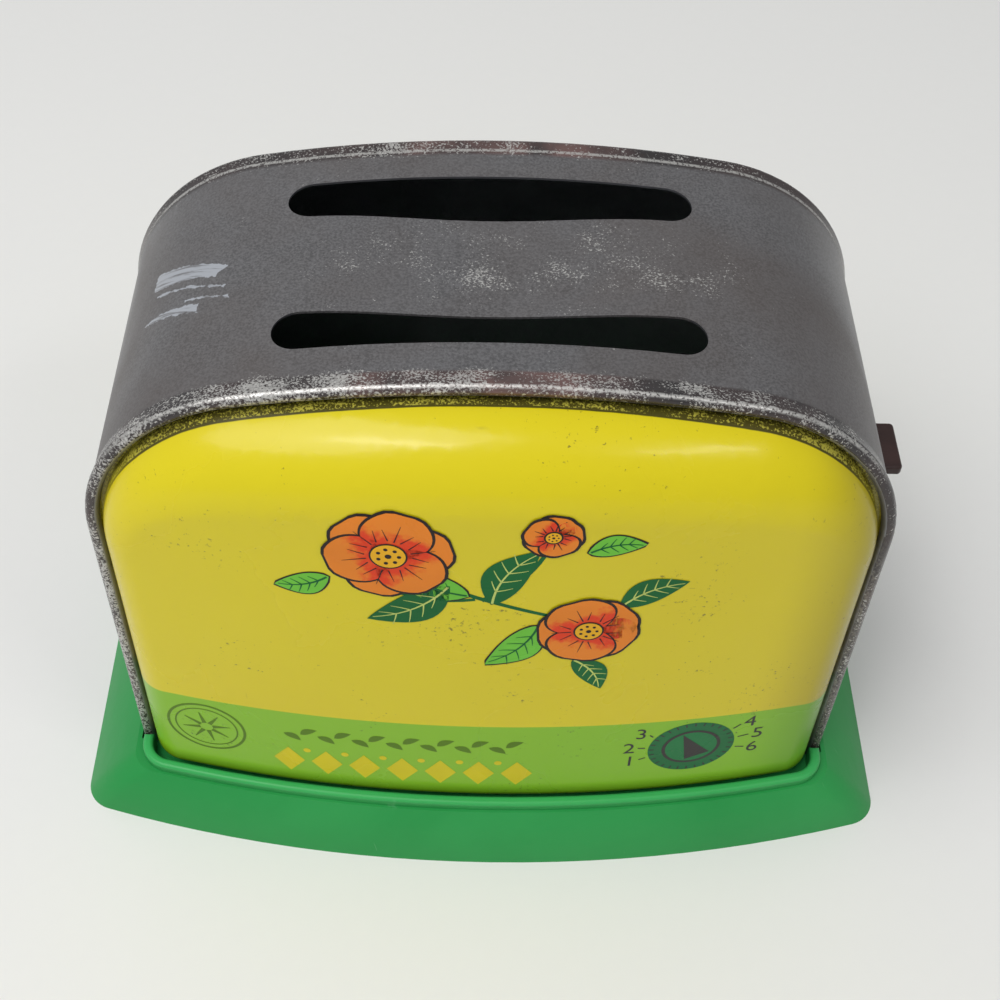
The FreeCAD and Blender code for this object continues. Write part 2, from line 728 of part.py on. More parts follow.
def make_spring():
    """Compression spring round the right guide rod, from the foot flange to the cross bar."""
    seat_gap = 0.05
    low = DECK_TOP + PLATE + WIRE / 2 + seat_gap
    high = CARRIAGE_Z - WIRE / 2 - seat_gap
    turns = SPRING_TURNS
    steps = turns * 4
    rise = high - low

    def place(share):
        a = 2 * math.pi * turns * share
        return Vector(ROD_X + SPRING_R * math.cos(a), SPRING_R * math.sin(a), low + rise * share)

    def heading(share):
        a = 2 * math.pi * turns * share
        around = 2 * math.pi * turns * SPRING_R
        return Vector(-math.sin(a) * around, math.cos(a) * around, rise).normalize()

    edges = []
    for i in range(steps):
        a, b = i / steps, (i + 1) / steps
        edges += biarc(place(a), heading(a), place(b), heading(b))
    path = Part.Wire(edges)
    ring = Part.Wire(Part.makeCircle(WIRE / 2, place(0), heading(0)))
    sweep = Part.BRepOffsetAPI.MakePipeShell(path)
    sweep.add(ring)
    sweep.build()
    sweep.makeSolid()
    print("spring's least gap to itself: %.2f mm" % (rise / turns - WIRE))
    return one(sweep.shape())


# Catch

def make_catch():
    """Sprung jaws screwed down with the right guide bracket."""
    floor = DECK_TOP + PLATE
    mid = floor + JAW_T / 2
    pinch = PLATE / 2 + JAW_GAP + JAW_T / 2
    foot = box(
        JAW_TAB_X - JAW_FOOT_HALF, JAW_TAB_X + JAW_FOOT_HALF, -BRACKET_W / 2, BRACKET_W / 2,
        floor, floor + JAW_T,
    )
    pieces = [foot]
    for side in (-1, 1):
        spread = JAW_FOOT_HALF - JAW_T / 2
        points = [
            (JAW_TAB_X + side * 1.0, mid),
            (JAW_TAB_X + side * spread, mid),
            (JAW_TAB_X + side * spread, floor + 2.6),
            (JAW_TAB_X + side * pinch, floor + JAW_PINCH_H),
            (JAW_TAB_X + side * (pinch + 1.1), floor + JAW_TIP_H),
        ]
        pieces.append(bent_strip(points, JAW_T, JAW_T, -JAW_W / 2, JAW_W / 2))
    catch = fused(pieces)
    for y in (-SCREW_Y, SCREW_Y):
        catch = catch.cut(rod(SCREW_X, y, floor - 1, floor + 2, SCREW_R))
    return one(catch)


def export(name, solids):
    shape = solids[0] if len(solids) == 1 else Part.makeCompound(solids)
    for solid in shape.Solids:
        if not solid.isValid():
            print("not valid: " + name)
    shape.exportStep("parts/%s.step" % name)


def main():
    wrap = make_wrap()
    panel = make_panel()
    bracket = make_bracket()
    pin = make_rod()
    nut = make_nut()
    spring = make_spring()
    floor = tray_floor()
    tray_rivet = make_rivet(SLOT_Y, floor + TRAY_T)
    tray_rivet_front = make_rivet(-SLOT_Y, floor + TRAY_T)
    seat = DECK_TOP + PLATE
    screws = []
    for x, y in screw_places():
        screws.append(make_screw(x, y, seat + (JAW_T if x > 0 else 0.0)))

    export("body_wrap", [wrap])
    export("front_panel", [panel])
    export("rear_panel", [turned(panel)])
    export("base", [make_base()])
    export("toast_tray_front", [make_tray(-SLOT_Y)])
    export("toast_tray_rear", [make_tray(SLOT_Y)])
    export("cross_bar_right", [make_bar(True)])
    export("cross_bar_left", [turned(make_bar(False))])
    rivets = [tray_rivet, tray_rivet_front]
    export("tray_rivets", rivets + [turned(r) for r in rivets])
    lever_rivets = [make_rivet(y, floor + ARM_T) for y in (-LEVER_RIVET_Y, LEVER_RIVET_Y)]
    export("lever_rivets", lever_rivets)
    export("lever_arm", [make_arm()])
    export("lever_knob", [make_knob()])
    export("guide_bracket_right", [bracket])
    export("guide_bracket_left", [turned(bracket)])
    export("guide_rod_right", [pin])
    export("guide_rod_left", [turned(pin)])
    export("rod_push_nuts", [nut, turned(nut)])
    export("return_spring_right", [spring])
    export("return_spring_left", [turned(spring)])
    export("bracket_screws", screws)
    export("catch_clip", [make_catch()])


if __name__ == "__main__":
    main()
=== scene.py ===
import math

import bmesh
import bpy
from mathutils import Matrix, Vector
from mathutils.bvhtree import BVHTree


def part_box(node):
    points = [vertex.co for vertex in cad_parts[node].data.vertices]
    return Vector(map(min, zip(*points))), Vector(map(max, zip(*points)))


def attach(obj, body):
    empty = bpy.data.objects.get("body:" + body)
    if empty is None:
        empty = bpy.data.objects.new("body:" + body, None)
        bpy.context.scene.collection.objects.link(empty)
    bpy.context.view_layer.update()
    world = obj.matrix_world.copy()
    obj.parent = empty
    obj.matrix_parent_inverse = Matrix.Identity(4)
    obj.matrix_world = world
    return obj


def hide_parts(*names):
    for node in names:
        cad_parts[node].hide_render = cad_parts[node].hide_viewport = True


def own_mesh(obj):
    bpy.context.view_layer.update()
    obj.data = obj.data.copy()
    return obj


bl_info = {
    "name": "Toy Toaster Dressing",
    "version": (1, 0, 0),
    "blender": (4, 5, 0),
    "location": "3D View > Sidebar > Toaster",
    "description": "Finishes, printed decoration and studio for a pressed tin toy toaster",
    "category": "Object",
}

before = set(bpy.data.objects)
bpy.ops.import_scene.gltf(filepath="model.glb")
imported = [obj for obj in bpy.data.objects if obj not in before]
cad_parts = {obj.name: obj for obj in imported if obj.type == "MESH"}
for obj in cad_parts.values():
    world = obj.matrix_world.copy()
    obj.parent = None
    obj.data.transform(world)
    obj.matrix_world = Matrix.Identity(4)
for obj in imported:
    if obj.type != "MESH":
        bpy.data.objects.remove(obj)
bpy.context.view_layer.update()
MM = 0.001


def corner(node, high, axis):
    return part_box(node)[1 if high else 0][axis]


# Places read from the frame, in metres
BODY_TOP = corner("body_wrap", True, 2)
TABLE = corner("base", False, 2)


# Settings a user would change

def colour_setting(name, description, default):
    return bpy.props.FloatVectorProperty(
        name=name, description=description, default=default,
        subtype="COLOR", size=3, min=0.0, max=1.0,
    )


def length_setting(name, description, default):
    return bpy.props.FloatProperty(
        name=name, description=description, default=default, unit="LENGTH", min=0.0
    )


class ToasterColours(bpy.types.PropertyGroup):
    """Colours of the finishes, linear."""

    wrap: colour_setting("Wrap", "Grey lacquer of the arched wrap", (0.122, 0.120, 0.124))
    wrap_stain: colour_setting("Wrap stain", "Brownish patches in the lacquer", (0.105, 0.086, 0.078))
    pit: colour_setting("Pits", "Brown pits in the lacquer", (0.050, 0.034, 0.028))
    bead: colour_setting("Bead", "Darker lacquer left on the rolled bead", (0.040, 0.037, 0.038))
    bead_leg: colour_setting("Bead legs", "Rubbed lacquer down the bead's legs", (0.200, 0.190, 0.165))
    # Bare tin's colour also paints the highlight along the bead
    bare_tin_and_highlight: colour_setting("Bare tin", "Tin where the lacquer has worn off", (0.58, 0.57, 0.545))
    scraped: colour_setting("Scraped tin", "Tin under the fresh scrapes", (0.46, 0.48, 0.52))
    rust: colour_setting("Rust bloom", "Pinkish brown bloom along the bead", (0.20, 0.115, 0.105))
    yellow: colour_setting("Panel yellow", "Printed yellow of the panels", (0.665, 0.560, 0.008))
    band: colour_setting("Band green", "Light green band at the panels' foot", (0.225, 0.470, 0.012))
    base: colour_setting("Base green", "Moulded green plastic", (0.016, 0.262, 0.056))
    knob: colour_setting("Knob", "Dark red-brown plastic", (0.036, 0.018, 0.016))
    leaf_dark: colour_setting("Dark leaf", "Deep green leaves", (0.001, 0.120, 0.026))
    leaf_light: colour_setting("Light leaf", "Bright green leaves", (0.150, 0.520, 0.045))
    petal: colour_setting("Petal", "Orange petals", (0.78, 0.225, 0.020))
    petal_root: colour_setting("Petal root", "Red at the root of the petals", (0.70, 0.045, 0.010))
    ink: colour_setting("Ink", "Dark outline ink", (0.018, 0.012, 0.012))
    dial: colour_setting("Dial", "Green of the printed dial", (0.010, 0.145, 0.042))


class ToasterSizes(bpy.types.PropertyGroup):
    """Sizes of the printed decoration, of the wear beside the bead, and of the painted highlight along
    it.
    """

    band_top: length_setting("Band height", "Top edge of the green band above the table", 0.0355)
    dial_x: length_setting("Dial place", "Middle of the printed dial, to the right", 0.038)
    dial_z: length_setting("Dial height", "Middle of the printed dial above the table", 0.0262)
    dial_r: length_setting("Dial radius", "Outer radius of the printed dial", 0.0079)
    digit: length_setting("Digit height", "Height of the digits beside the dial", 0.0032)
    bead_start: length_setting("Bead start", "Where the rolled bead begins, from the middle", 0.0258)
    # Place of the painted highlight along the front bead
    bead_nose_highlight: length_setting("Bead nose", "Painted highlight near the bead's nose", 0.0293)
    # Just beyond the worn edge lies a line of painted shade for the gap at the bead
    worn_edge: length_setting("Worn edge", "Where the panels' rubbed rim ends, from the middle", 0.0301)


class StageSettings(bpy.types.PropertyGroup):
    """Studio light and floor."""

    floor: colour_setting("Floor", "Colour of the floor", (0.80, 0.795, 0.775))
    sky: bpy.props.FloatProperty(
        name="Sky", description="Strength of the room light", default=0.50, min=0.0
    )
    lamp: bpy.props.FloatProperty(
        name="Lamp", description="Power of the main soft lamp", default=6.0, min=0.0,
        unit="POWER",
    )


# Small shader helpers

class Nodes:
    """A node tree with short calls for adding and joining nodes."""

    def __init__(self, tree):
        self.tree = tree

    def add(self, kind, inputs=None, **settings):
        made = self.tree.nodes.new(kind)
        for key, value in settings.items():
            setattr(made, key, value)
        for key, value in (inputs or {}).items():
            self.feed(made.inputs[key], value)
        return made

    def feed(self, socket, value):
        if isinstance(value, bpy.types.NodeSocket):
            self.tree.links.new(value, socket)
        else:
            socket.default_value = value

    def math(self, operation, a, b=0.0, clamp=False):
        made = self.add("ShaderNodeMath", {0: a, 1: b}, operation=operation, use_clamp=clamp)
        return made.outputs[0]

    def times(self, a, b, clamp=False):
        return self.math("MULTIPLY", a, b, clamp)

    def plus(self, a, b):
        return self.math("ADD", a, b)

    def minus(self, a, b, clamp=False):
        return self.math("SUBTRACT", a, b, clamp)

    def mix(self, share, a, b):
        made = self.add("ShaderNodeMix", data_type="RGBA")
        self.feed(made.inputs[0], share)
        self.feed(made.inputs[6], a)
        self.feed(made.inputs[7], b)
        return made.outputs[2]

    def blend(self, share, a, b):
        made = self.add("ShaderNodeMix", data_type="FLOAT")
        self.feed(made.inputs[0], share)
        self.feed(made.inputs[2], a)
        self.feed(made.inputs[3], b)
        return made.outputs[0]

    def ramp(self, value, low, high, out_low=0.0, out_high=1.0):
        made = self.add(
            "ShaderNodeMapRange",
            {"Value": value, "From Min": low, "From Max": high,
             "To Min": out_low, "To Max": out_high},
            interpolation_type="SMOOTHSTEP",
        )
        return made.outputs[0]

    def dot(self, vector, along):
        made = self.add("ShaderNodeVectorMath", {0: vector, 1: along}, operation="DOT_PRODUCT")
        return made.outputs["Value"]

    def noise(self, where, **inputs):
        return self.add("ShaderNodeTexNoise", {"Vector": where, **inputs}).outputs[0]

    def group(self, name, where, **inputs):
        made = self.add("ShaderNodeGroup", node_tree=bpy.data.node_groups[name])
        for key, value in {"Vector": where, **inputs}.items():
            self.feed(made.inputs[key], value)
        return made.outputs[0]

    def place(self):
        """Position on the piece as it stands at rest, and its three parts."""
        where = self.add("ShaderNodeTexCoord").outputs["Object"]
        parts = self.add("ShaderNodeSeparateXYZ", {0: where}).outputs
        return where, parts[0], parts[1], parts[2]


def rgba(colour):
    return (*colour, 1.0)


def new_group(name, inputs):
    """Empty shader group with a vector input, named float inputs and one value out."""
    tree = bpy.data.node_groups.new(name, "ShaderNodeTree")
    tree.interface.new_socket("Vector", in_out="INPUT", socket_type="NodeSocketVector")
    for key, default in inputs:
        socket = tree.interface.new_socket(key, in_out="INPUT", socket_type="NodeSocketFloat")
        socket.default_value = default
    tree.interface.new_socket("Mask", in_out="OUTPUT", socket_type="NodeSocketFloat")
    n = Nodes(tree)
    entry = n.add("NodeGroupInput")
    leave = n.add("NodeGroupOutput")
    return n, entry.outputs, leave.inputs["Mask"]


def make_speckle_group():
    """Small ragged spots, denser as Amount grows."""
    inputs = [("Scale", 900.0), ("Patch", 90.0), ("Amount", 0.3)]
    n, given, out = new_group("speckle_wear", inputs)
    fine = n.noise(given["Vector"], Scale=given["Scale"], Detail=3.0, Roughness=0.65)
    patch = n.noise(given["Vector"], Scale=given["Patch"], Detail=5.0, Roughness=0.6)
    both = n.plus(n.times(fine, 0.62), n.times(patch, 0.38))
    edge = n.minus(0.74, n.times(given["Amount"], 0.36))
    n.feed(out, n.times(n.minus(both, edge), 18.0, clamp=True))


def make_scratch_group():
    """Short hairlines that run mostly one way."""
    n, given, out = new_group("hairline_scratches", [("Scale", 60.0), ("Amount", 0.5)])
    turned = n.add(
        "ShaderNodeMapping",
        {"Vector": given["Vector"], "Rotation": (0.5, 0.9, 0.4), "Scale": (1.0, 1.0, 0.12)},
    ).outputs[0]
    waves = n.noise(turned, Scale=given["Scale"], Detail=1.0)
    off = n.math("ABSOLUTE", n.minus(waves, 0.5))
    line = n.minus(1.0, n.times(off, 260.0), clamp=True)
    broken = n.noise(given["Vector"], Scale=170.0, Detail=2.0)
    limit = n.minus(0.80, n.times(given["Amount"], 0.3))
    keep = n.times(n.minus(broken, limit), 16.0, clamp=True)
    n.feed(out, n.times(line, keep))


def make_smudge_group():
    """Wide soft unevenness, for gloss and tint."""
    n, given, out = new_group("soft_smudge", [("Scale", 30.0)])
    broad = n.noise(given["Vector"], Scale=given["Scale"], Detail=5.0, Distortion=0.6)
    n.feed(out, n.ramp(broad, 0.3, 0.7))


def make_grain_group():
    """Fine height grain for moulded or lacquered skins."""
    n, given, out = new_group("fine_grain", [("Scale", 2500.0)])
    n.feed(out, n.noise(given["Vector"], Scale=given["Scale"], Detail=2.0))


def new_material(name, **plain):
    """Material with its Principled shader; plain values sit on the shader's own sockets."""
    material = bpy.data.materials.new(name)
    material.use_nodes = True
    n = Nodes(material.node_tree)
    shader = next(s for s in material.node_tree.nodes if s.type == "BSDF_PRINCIPLED")
    for key, value in plain.items():
        shader.inputs[key.replace("_", " ")].default_value = value
    return material, n, shader


# Colours of wear, and of painted shade, that no setting changes, linear
GRIME = (0.050, 0.040, 0.018, 1.0)
# Painted shade on the panels' right edge, on the yellow and on the band
SHADED_YELLOW = (0.20, 0.16, 0.006, 1.0)
SHADED_GREEN = (0.06, 0.20, 0.006, 1.0)
# Dark of the worn strip beside the bead, and the painted shade of the gap at its edge
DARK_WEAR_AND_GAP_SHADE = (0.018, 0.017, 0.010, 1.0)
RUBBED_YELLOW = (0.42, 0.38, 0.06, 1.0)
SCRATCHED_PLASTIC = (0.30, 0.55, 0.36, 1.0)
DUST = (0.45, 0.60, 0.45, 1.0)
KNOB_SPECK = (0.30, 0.22, 0.20, 1.0)
METAL_SPOT = (0.20, 0.12, 0.07, 1.0)

# How chipped the panels and the print on them are, from 0 to 1
PANEL_CHIPS = 0.33
PRINT_CHIPS = 0.18
# How ragged the petals' red roots end, as a share of the petal
ROOT_RAGGED = 0.55

# Where finishes, painted shade and painted highlights change, in metres; a pair holds the two ends of a
# ramp
BEAD_EDGE = (-0.0003, 0.0006)
BEAD_RUB = (-0.0016, 0.0010)
# Offset of the rear bead's painted highlight from the bead's start
REAR_HIGHLIGHT_OFFSET = 0.0010
LEG_HEIGHTS = (0.085, 0.055)
ARCH_HEIGHTS = (0.09, 0.10)
BLOOM_SHIFT = 0.002
BLOOM_REACH = (0.030, 0.012)
LEFT_SHOULDER = (0.012, -0.030)
FRONT_HALF = (0.010, -0.010)
CROWN_HEIGHTS = (0.100, 0.106)
CROWN_DEPTHS = (0.014, 0.002)
CROWN_LEFT = (-0.050, -0.006)
ARCH_FLAT = (0.056, 0.030)
# Width and heights of the painted highlight along the bead
NOSE_HIGHLIGHT_WIDTH = (0.00045, 0.00010)
NOSE_HIGHLIGHT_HEIGHTS = (0.085, 0.098)
SCRAPE_EDGE = (0.0, 0.00012)
SCRAPE_HEIGHTS = (0.08, 0.085)
BAND_BLUR = 0.00012
FOOT_HEIGHTS = (0.0125, 0.0165)
# Span of the painted shade on the panels' right edge
RIGHT_SHADE_SPAN = (0.046, 0.064)
RIM_RAGGED = 0.0005
RIM_BLUR = 0.0001
# Span of the line of painted gap shade beyond the worn edge
RIM_SHADE_LINE = (0.0005, 0.0003)
RIM_HEIGHTS = (0.075, 0.095)
# Heights of the painted highlight on the base's lip
BASE_LIP_HIGHLIGHT = (0.0112, 0.0125)
BUMP_DISTANCE = 0.0002


def bump(n, shader, height, strength):
    inputs = {"Height": height, "Strength": strength, "Distance": BUMP_DISTANCE}
    n.feed(shader.inputs["Normal"], n.add("ShaderNodeBump", inputs).outputs[0])


def wrap_lacquer(n, look, where, shade, mottle):
    """Mottled grey with brownish stains and paler clouds."""
    cloud = n.group("soft_smudge", where, Scale=110.0)
    darker = tuple(c * 0.72 for c in look.wrap)
    lighter = tuple(c * 1.45 for c in look.wrap)
    body = n.mix(n.ramp(mottle, 0.34, 0.66), rgba(darker), rgba(lighter))
    body = n.mix(n.times(shade, 0.55), body, rgba(look.wrap_stain))
    return n.mix(n.times(cloud, 0.20), body, rgba(lighter))


def bead_lacquer(n, look, where, legs, x, z):
    """Dark lacquer with a pinkish bloom over the middle of the top, and paler legs."""
    middle = n.ramp(n.math("ABSOLUTE", n.plus(x, BLOOM_SHIFT)), *BLOOM_REACH)
    middle = n.times(middle, n.ramp(z, *ARCH_HEIGHTS))
    bloom = n.group("soft_smudge", where, Scale=70.0)
    bloom = n.times(bloom, n.plus(n.times(middle, 0.75), 0.15))
    dark = n.mix(legs, rgba(look.bead), rgba(look.bead_leg))
    return n.mix(bloom, dark, rgba(look.rust))


def rubbing(n, sizes, depth, legs, x, y, z):
    """Share of rubbed lacquer: heavy on the left shoulder's bead, light on the right one."""
    start = sizes.bead_start
    near = n.ramp(depth, start + BEAD_RUB[0], start + BEAD_RUB[1])
    leftward = n.times(n.ramp(x, *LEFT_SHOULDER), n.blend(legs, 0.14, 0.40))
    crest = n.times(n.plus(leftward, 0.35), n.ramp(y, *FRONT_HALF, 0.72, 1.0))
    crown = n.times(n.ramp(z, *CROWN_HEIGHTS), n.ramp(depth, *CROWN_DEPTHS))
    crown = n.times(crown, n.ramp(x, *CROWN_LEFT))
    rub = n.plus(n.times(near, crest), n.times(crown, 0.24))
    flat = n.ramp(n.math("ABSOLUTE", x), *ARCH_FLAT)
    return n.plus(rub, n.plus(n.times(flat, 0.13), 0.15))


def painted_bead_highlight(n, sizes, depth, mottle, y, z):
    """Painted highlight line along the bead, at the front's nose and the rear's inner side."""
    rear = n.math("GREATER_THAN", y, 0.0)
    highlight_place = n.blend(rear, sizes.bead_nose_highlight, sizes.bead_start + REAR_HIGHLIGHT_OFFSET)
    off_nose = n.math("ABSOLUTE", n.minus(depth, highlight_place))
    nose = n.times(n.ramp(off_nose, *NOSE_HIGHLIGHT_WIDTH), n.ramp(z, *NOSE_HIGHLIGHT_HEIGHTS))
    return n.times(nose, n.ramp(mottle, 0.36, 0.52))


def wrap_material(look, sizes):
    """Dull grey lacquer, with a dark bead worn down to speckled tin."""
    material, n, shader = new_material("worn_grey_lacquer", IOR=1.5)
    where, x, y, z = n.place()
    depth = n.math("ABSOLUTE", y)
    start = sizes.bead_start
    bead = n.ramp(depth, start + BEAD_EDGE[0], start + BEAD_EDGE[1])
    shade = n.group("soft_smudge", where, Scale=26.0)
    mottle = n.noise(where, Scale=2400.0, Detail=4.0, Roughness=0.6)
    legs = n.times(n.ramp(z, *LEG_HEIGHTS), n.ramp(mottle, 0.38, 0.62))
    body = wrap_lacquer(n, look, where, shade, mottle)
    colour = n.mix(bead, body, bead_lacquer(n, look, where, legs, x, z))
    # Brown pits of rust under the lacquer
    pits = n.group("speckle_wear", where, Scale=1500.0, Patch=60.0, Amount=0.29)
    colour = n.mix(n.times(pits, 0.55), colour, rgba(look.pit))
    # Bare tin: rubbed specks and hairlines, then a painted highlight along the bead in the bare tin's
    # colour
    rub = rubbing(n, sizes, depth, legs, x, y, z)
    specks = n.group("speckle_wear", where, Scale=2500.0, Patch=150.0, Amount=rub)
    lines = n.group("hairline_scratches", where, Scale=90.0, Amount=0.42)
    uneven = n.times(specks, n.ramp(mottle, 0.30, 0.66, 0.50, 0.95))
    bare = n.math("MAXIMUM", uneven, n.times(lines, 0.30))
    # Painted highlight along the bead, added to the bare tin mask
    nose = painted_bead_highlight(n, sizes, depth, mottle, y, z)
    bare = n.math("MAXIMUM", bare, n.times(nose, 0.75))
    colour = n.mix(bare, colour, rgba(look.bare_tin_and_highlight))
    fresh = scrapes(n, where, z)
    colour = n.mix(fresh, colour, rgba(look.scraped))
    # Fresh scrapes, bare tin and the painted highlight share the metal's gloss
    bare_metal_and_highlight = n.math("MAXIMUM", fresh, bare)
    n.feed(shader.inputs["Base Color"], colour)
    n.feed(shader.inputs["Metallic"], n.blend(bare_metal_and_highlight, 0.40, 0.55))
    rough = n.blend(bead, n.blend(shade, 0.34, 0.48), 0.26)
    n.feed(shader.inputs["Roughness"], n.blend(bare_metal_and_highlight, rough, 0.32))
    height = n.minus(n.times(mottle, 0.35), n.times(specks, 0.4))
    bump(n, shader, height, 0.35)
    return material


# Fresh scrapes over the left shoulder: four corners each, in plan and clockwise, in mm
SCRAPES = [
    ((-56.1, 3.4), (-55.9, 7.6), (-42.5, 1.8), (-44.6, -0.4)),
    ((-57.2, -4.1), (-54.2, -3.8), (-46.7, -5.8), (-46.8, -7.9)),
    ((-55.3, 1.2), (-55.4, 2.0), (-42.9, -3.1), (-42.8, -3.7)),
    ((-49.5, -4.2), (-49.6, -3.6), (-42.0, -5.5), (-41.9, -6.2)),
]
SCRAPE_RAGGED = 1.6
SCRAPE_ALONG = (0.92, -0.39, 0.0)
SCRAPE_ACROSS = (0.39, 0.92, 0.0)


def scrapes(n, where, z):
    """Mask of the fresh scrapes, with ragged edges and streaks along them."""
    ragged = n.noise(where, Scale=900.0, Detail=4.0, Roughness=0.6)
    shift = n.times(n.minus(ragged, 0.5), SCRAPE_RAGGED * MM)
    total = None
    for corners in SCRAPES:
        inside = None
        for (ax, ay), (bx, by) in zip(corners, corners[1:] + corners[:1]):
            run = math.hypot(bx - ax, by - ay)
            across = ((by - ay) / run, (ax - bx) / run, 0.0)
            offset = (ax * across[0] + ay * across[1]) * MM
            gap = n.minus(n.dot(where, across), offset)
            inside = gap if inside is None else n.math("MINIMUM", inside, gap)
        total = inside if total is None else n.math("MAXIMUM", total, inside)
    mask = n.ramp(n.plus(total, shift), *SCRAPE_EDGE)
    along = n.times(n.dot(where, SCRAPE_ALONG), 0.10)
    drawn = n.add("ShaderNodeCombineXYZ", {0: along, 1: n.dot(where, SCRAPE_ACROSS)}).outputs[0]
    streaks = n.noise(drawn, Scale=1600.0, Detail=3.0)
    mask = n.times(mask, n.ramp(streaks, 0.34, 0.50, 0.25, 1.0))
    return n.times(mask, n.ramp(z, *SCRAPE_HEIGHTS))


def printed_finish(n, shader, where, colour, chips):
    """Wear and gloss shared by everything printed on the panels."""
    specks = n.group("speckle_wear", where, Scale=1150.0, Patch=62.0, Amount=chips)
    lines = n.group("hairline_scratches", where, Scale=34.0, Amount=0.22)
    marks = n.math("MAXIMUM", n.times(specks, 0.70), n.times(lines, 0.30))
    n.feed(shader.inputs["Base Color"], n.mix(marks, colour, GRIME))
    smudge = n.group("soft_smudge", where, Scale=26.0)
    n.feed(shader.inputs["Roughness"], n.blend(smudge, 0.20, 0.30))
    bump(n, shader, n.group("fine_grain", where, Scale=420.0), 0.06)


def panel_material(look, sizes):
    """Glossy yellow print over a green foot band, rubbed to speckled metal under the bead, with painted
    shade along the gap at the bead and on the right edge.
    """
    material, n, shader = new_material(
        "printed_yellow_tin", IOR=1.34, Coat_Weight=0.08, Coat_Roughness=0.05
    )
    where, x, y, z = n.place()
    tint = n.group("soft_smudge", where, Scale=14.0)
    warm = tuple(c * k for c, k in zip(look.yellow, (0.95, 0.90, 1.0)))
    yellow = n.mix(n.times(tint, 0.6), rgba(look.yellow), rgba(warm))
    band = n.ramp(z, sizes.band_top - BAND_BLUR, sizes.band_top + BAND_BLUR, 1.0, 0.0)
    foot = n.ramp(z, *FOOT_HEIGHTS, 1.0, 0.0)
    deep = tuple(c * 0.55 for c in look.band)
    green = n.mix(foot, rgba(look.band), rgba(deep))
    colour = n.mix(band, yellow, green)
    # The right edge is darkened with painted shade, towards a dim olive on the yellow and a deep green
    # on the band
    right_shade = n.times(n.ramp(x, *RIGHT_SHADE_SPAN), 0.62)
    colour = n.mix(right_shade, colour, n.mix(band, SHADED_YELLOW, SHADED_GREEN))
    # The rim beside the bead is rubbed and dirty, and ends in a dark line of painted shade, for the
    # shadow in the gap at the bead
    ragged = n.times(n.minus(tint, 0.5), RIM_RAGGED)
    depth = n.plus(n.math("ABSOLUTE", y), ragged)
    edge = sizes.worn_edge
    rim = n.ramp(depth, edge + RIM_BLUR, edge - RIM_BLUR)
    line = n.ramp(depth, edge + RIM_SHADE_LINE[0], edge + RIM_SHADE_LINE[1])
    worn = n.group("speckle_wear", where, Scale=2600.0, Patch=150.0, Amount=0.70)
    worn_strip_and_gap_shade = n.mix(rim, DARK_WEAR_AND_GAP_SHADE, n.mix(worn, DARK_WEAR_AND_GAP_SHADE, RUBBED_YELLOW))
    rub = n.blend(n.ramp(z, *RIM_HEIGHTS), 0.30, 0.92)
    colour = n.mix(n.times(line, rub), colour, worn_strip_and_gap_shade)
    printed_finish(n, shader, where, colour, PANEL_CHIPS)
    return material


def print_material(name, colour, root=None):
    """Ink of the decoration; a root colour fades out along the shape's stored share."""
    material, n, shader = new_material(name, IOR=1.25, Coat_Weight=0.03, Coat_Roughness=0.05)
    where = n.place()[0]
    tone = n.group("soft_smudge", where, Scale=60.0)
    shade = tuple(c * 0.86 for c in colour)
    ink = n.mix(n.times(tone, 0.7), rgba(colour), rgba(shade))
    if root is not None:
        share = n.add("ShaderNodeAttribute", attribute_name="share").outputs["Fac"]
        rough = n.noise(where, Scale=700.0, Detail=3.0)
        ragged = n.plus(share, n.times(n.minus(rough, 0.5), ROOT_RAGGED))
        ink = n.mix(n.ramp(ragged, 0.30, 0.62, 1.0, 0.0), ink, rgba(root))
    printed_finish(n, shader, where, ink, PRINT_CHIPS)
    return material


def base_material(look):
    """Moulded plastic: even colour, a painted highlight along the top of the lip, hair scratches."""
    material, n, shader = new_material(
        "moulded_green_plastic", IOR=1.37, Subsurface_Weight=0.04, Subsurface_Scale=0.002
    )
    where, _, _, z = n.place()
    cloud = n.group("soft_smudge", where, Scale=24.0)
    lighter = tuple(min(1.0, c * 1.18 + 0.012) for c in look.base)
    colour = n.mix(n.times(cloud, 0.6), rgba(look.base), rgba(lighter))
    # Painted highlight: the top of the lip is paler
    crest = n.ramp(z, *BASE_LIP_HIGHLIGHT)
    pale = tuple(min(1.0, c * 1.7 + 0.03) for c in look.base)
    colour = n.mix(n.times(crest, 0.55), colour, rgba(pale))
    lines = n.group("hairline_scratches", where, Scale=80.0, Amount=0.5)
    colour = n.mix(n.times(lines, 0.25), colour, SCRATCHED_PLASTIC)
    dust = n.group("speckle_wear", where, Scale=1000.0, Patch=50.0, Amount=0.16)
    colour = n.mix(n.times(dust, 0.35), colour, DUST)
    n.feed(shader.inputs["Base Color"], colour)
    n.feed(shader.inputs["Roughness"], n.blend(cloud, 0.34, 0.46))
    bump(n, shader, n.group("fine_grain", where, Scale=900.0), 0.10)
    return material


def knob_material(look):
    """Dark moulded plastic with a few pale specks."""
    material, n, shader = new_material("dark_knob_plastic", IOR=1.36)
    where = n.place()[0]
    cloud = n.group("soft_smudge", where, Scale=160.0)
    lighter = tuple(c * 1.5 for c in look.knob)
    colour = n.mix(cloud, rgba(look.knob), rgba(lighter))
    specks = n.group("speckle_wear", where, Scale=1200.0, Patch=200.0, Amount=0.18)
    n.feed(shader.inputs["Base Color"], n.mix(n.times(specks, 0.4), colour, KNOB_SPECK))
    n.feed(shader.inputs["Roughness"], n.blend(cloud, 0.36, 0.52))
    bump(n, shader, n.group("fine_grain", where, Scale=1800.0), 0.15)
    return material


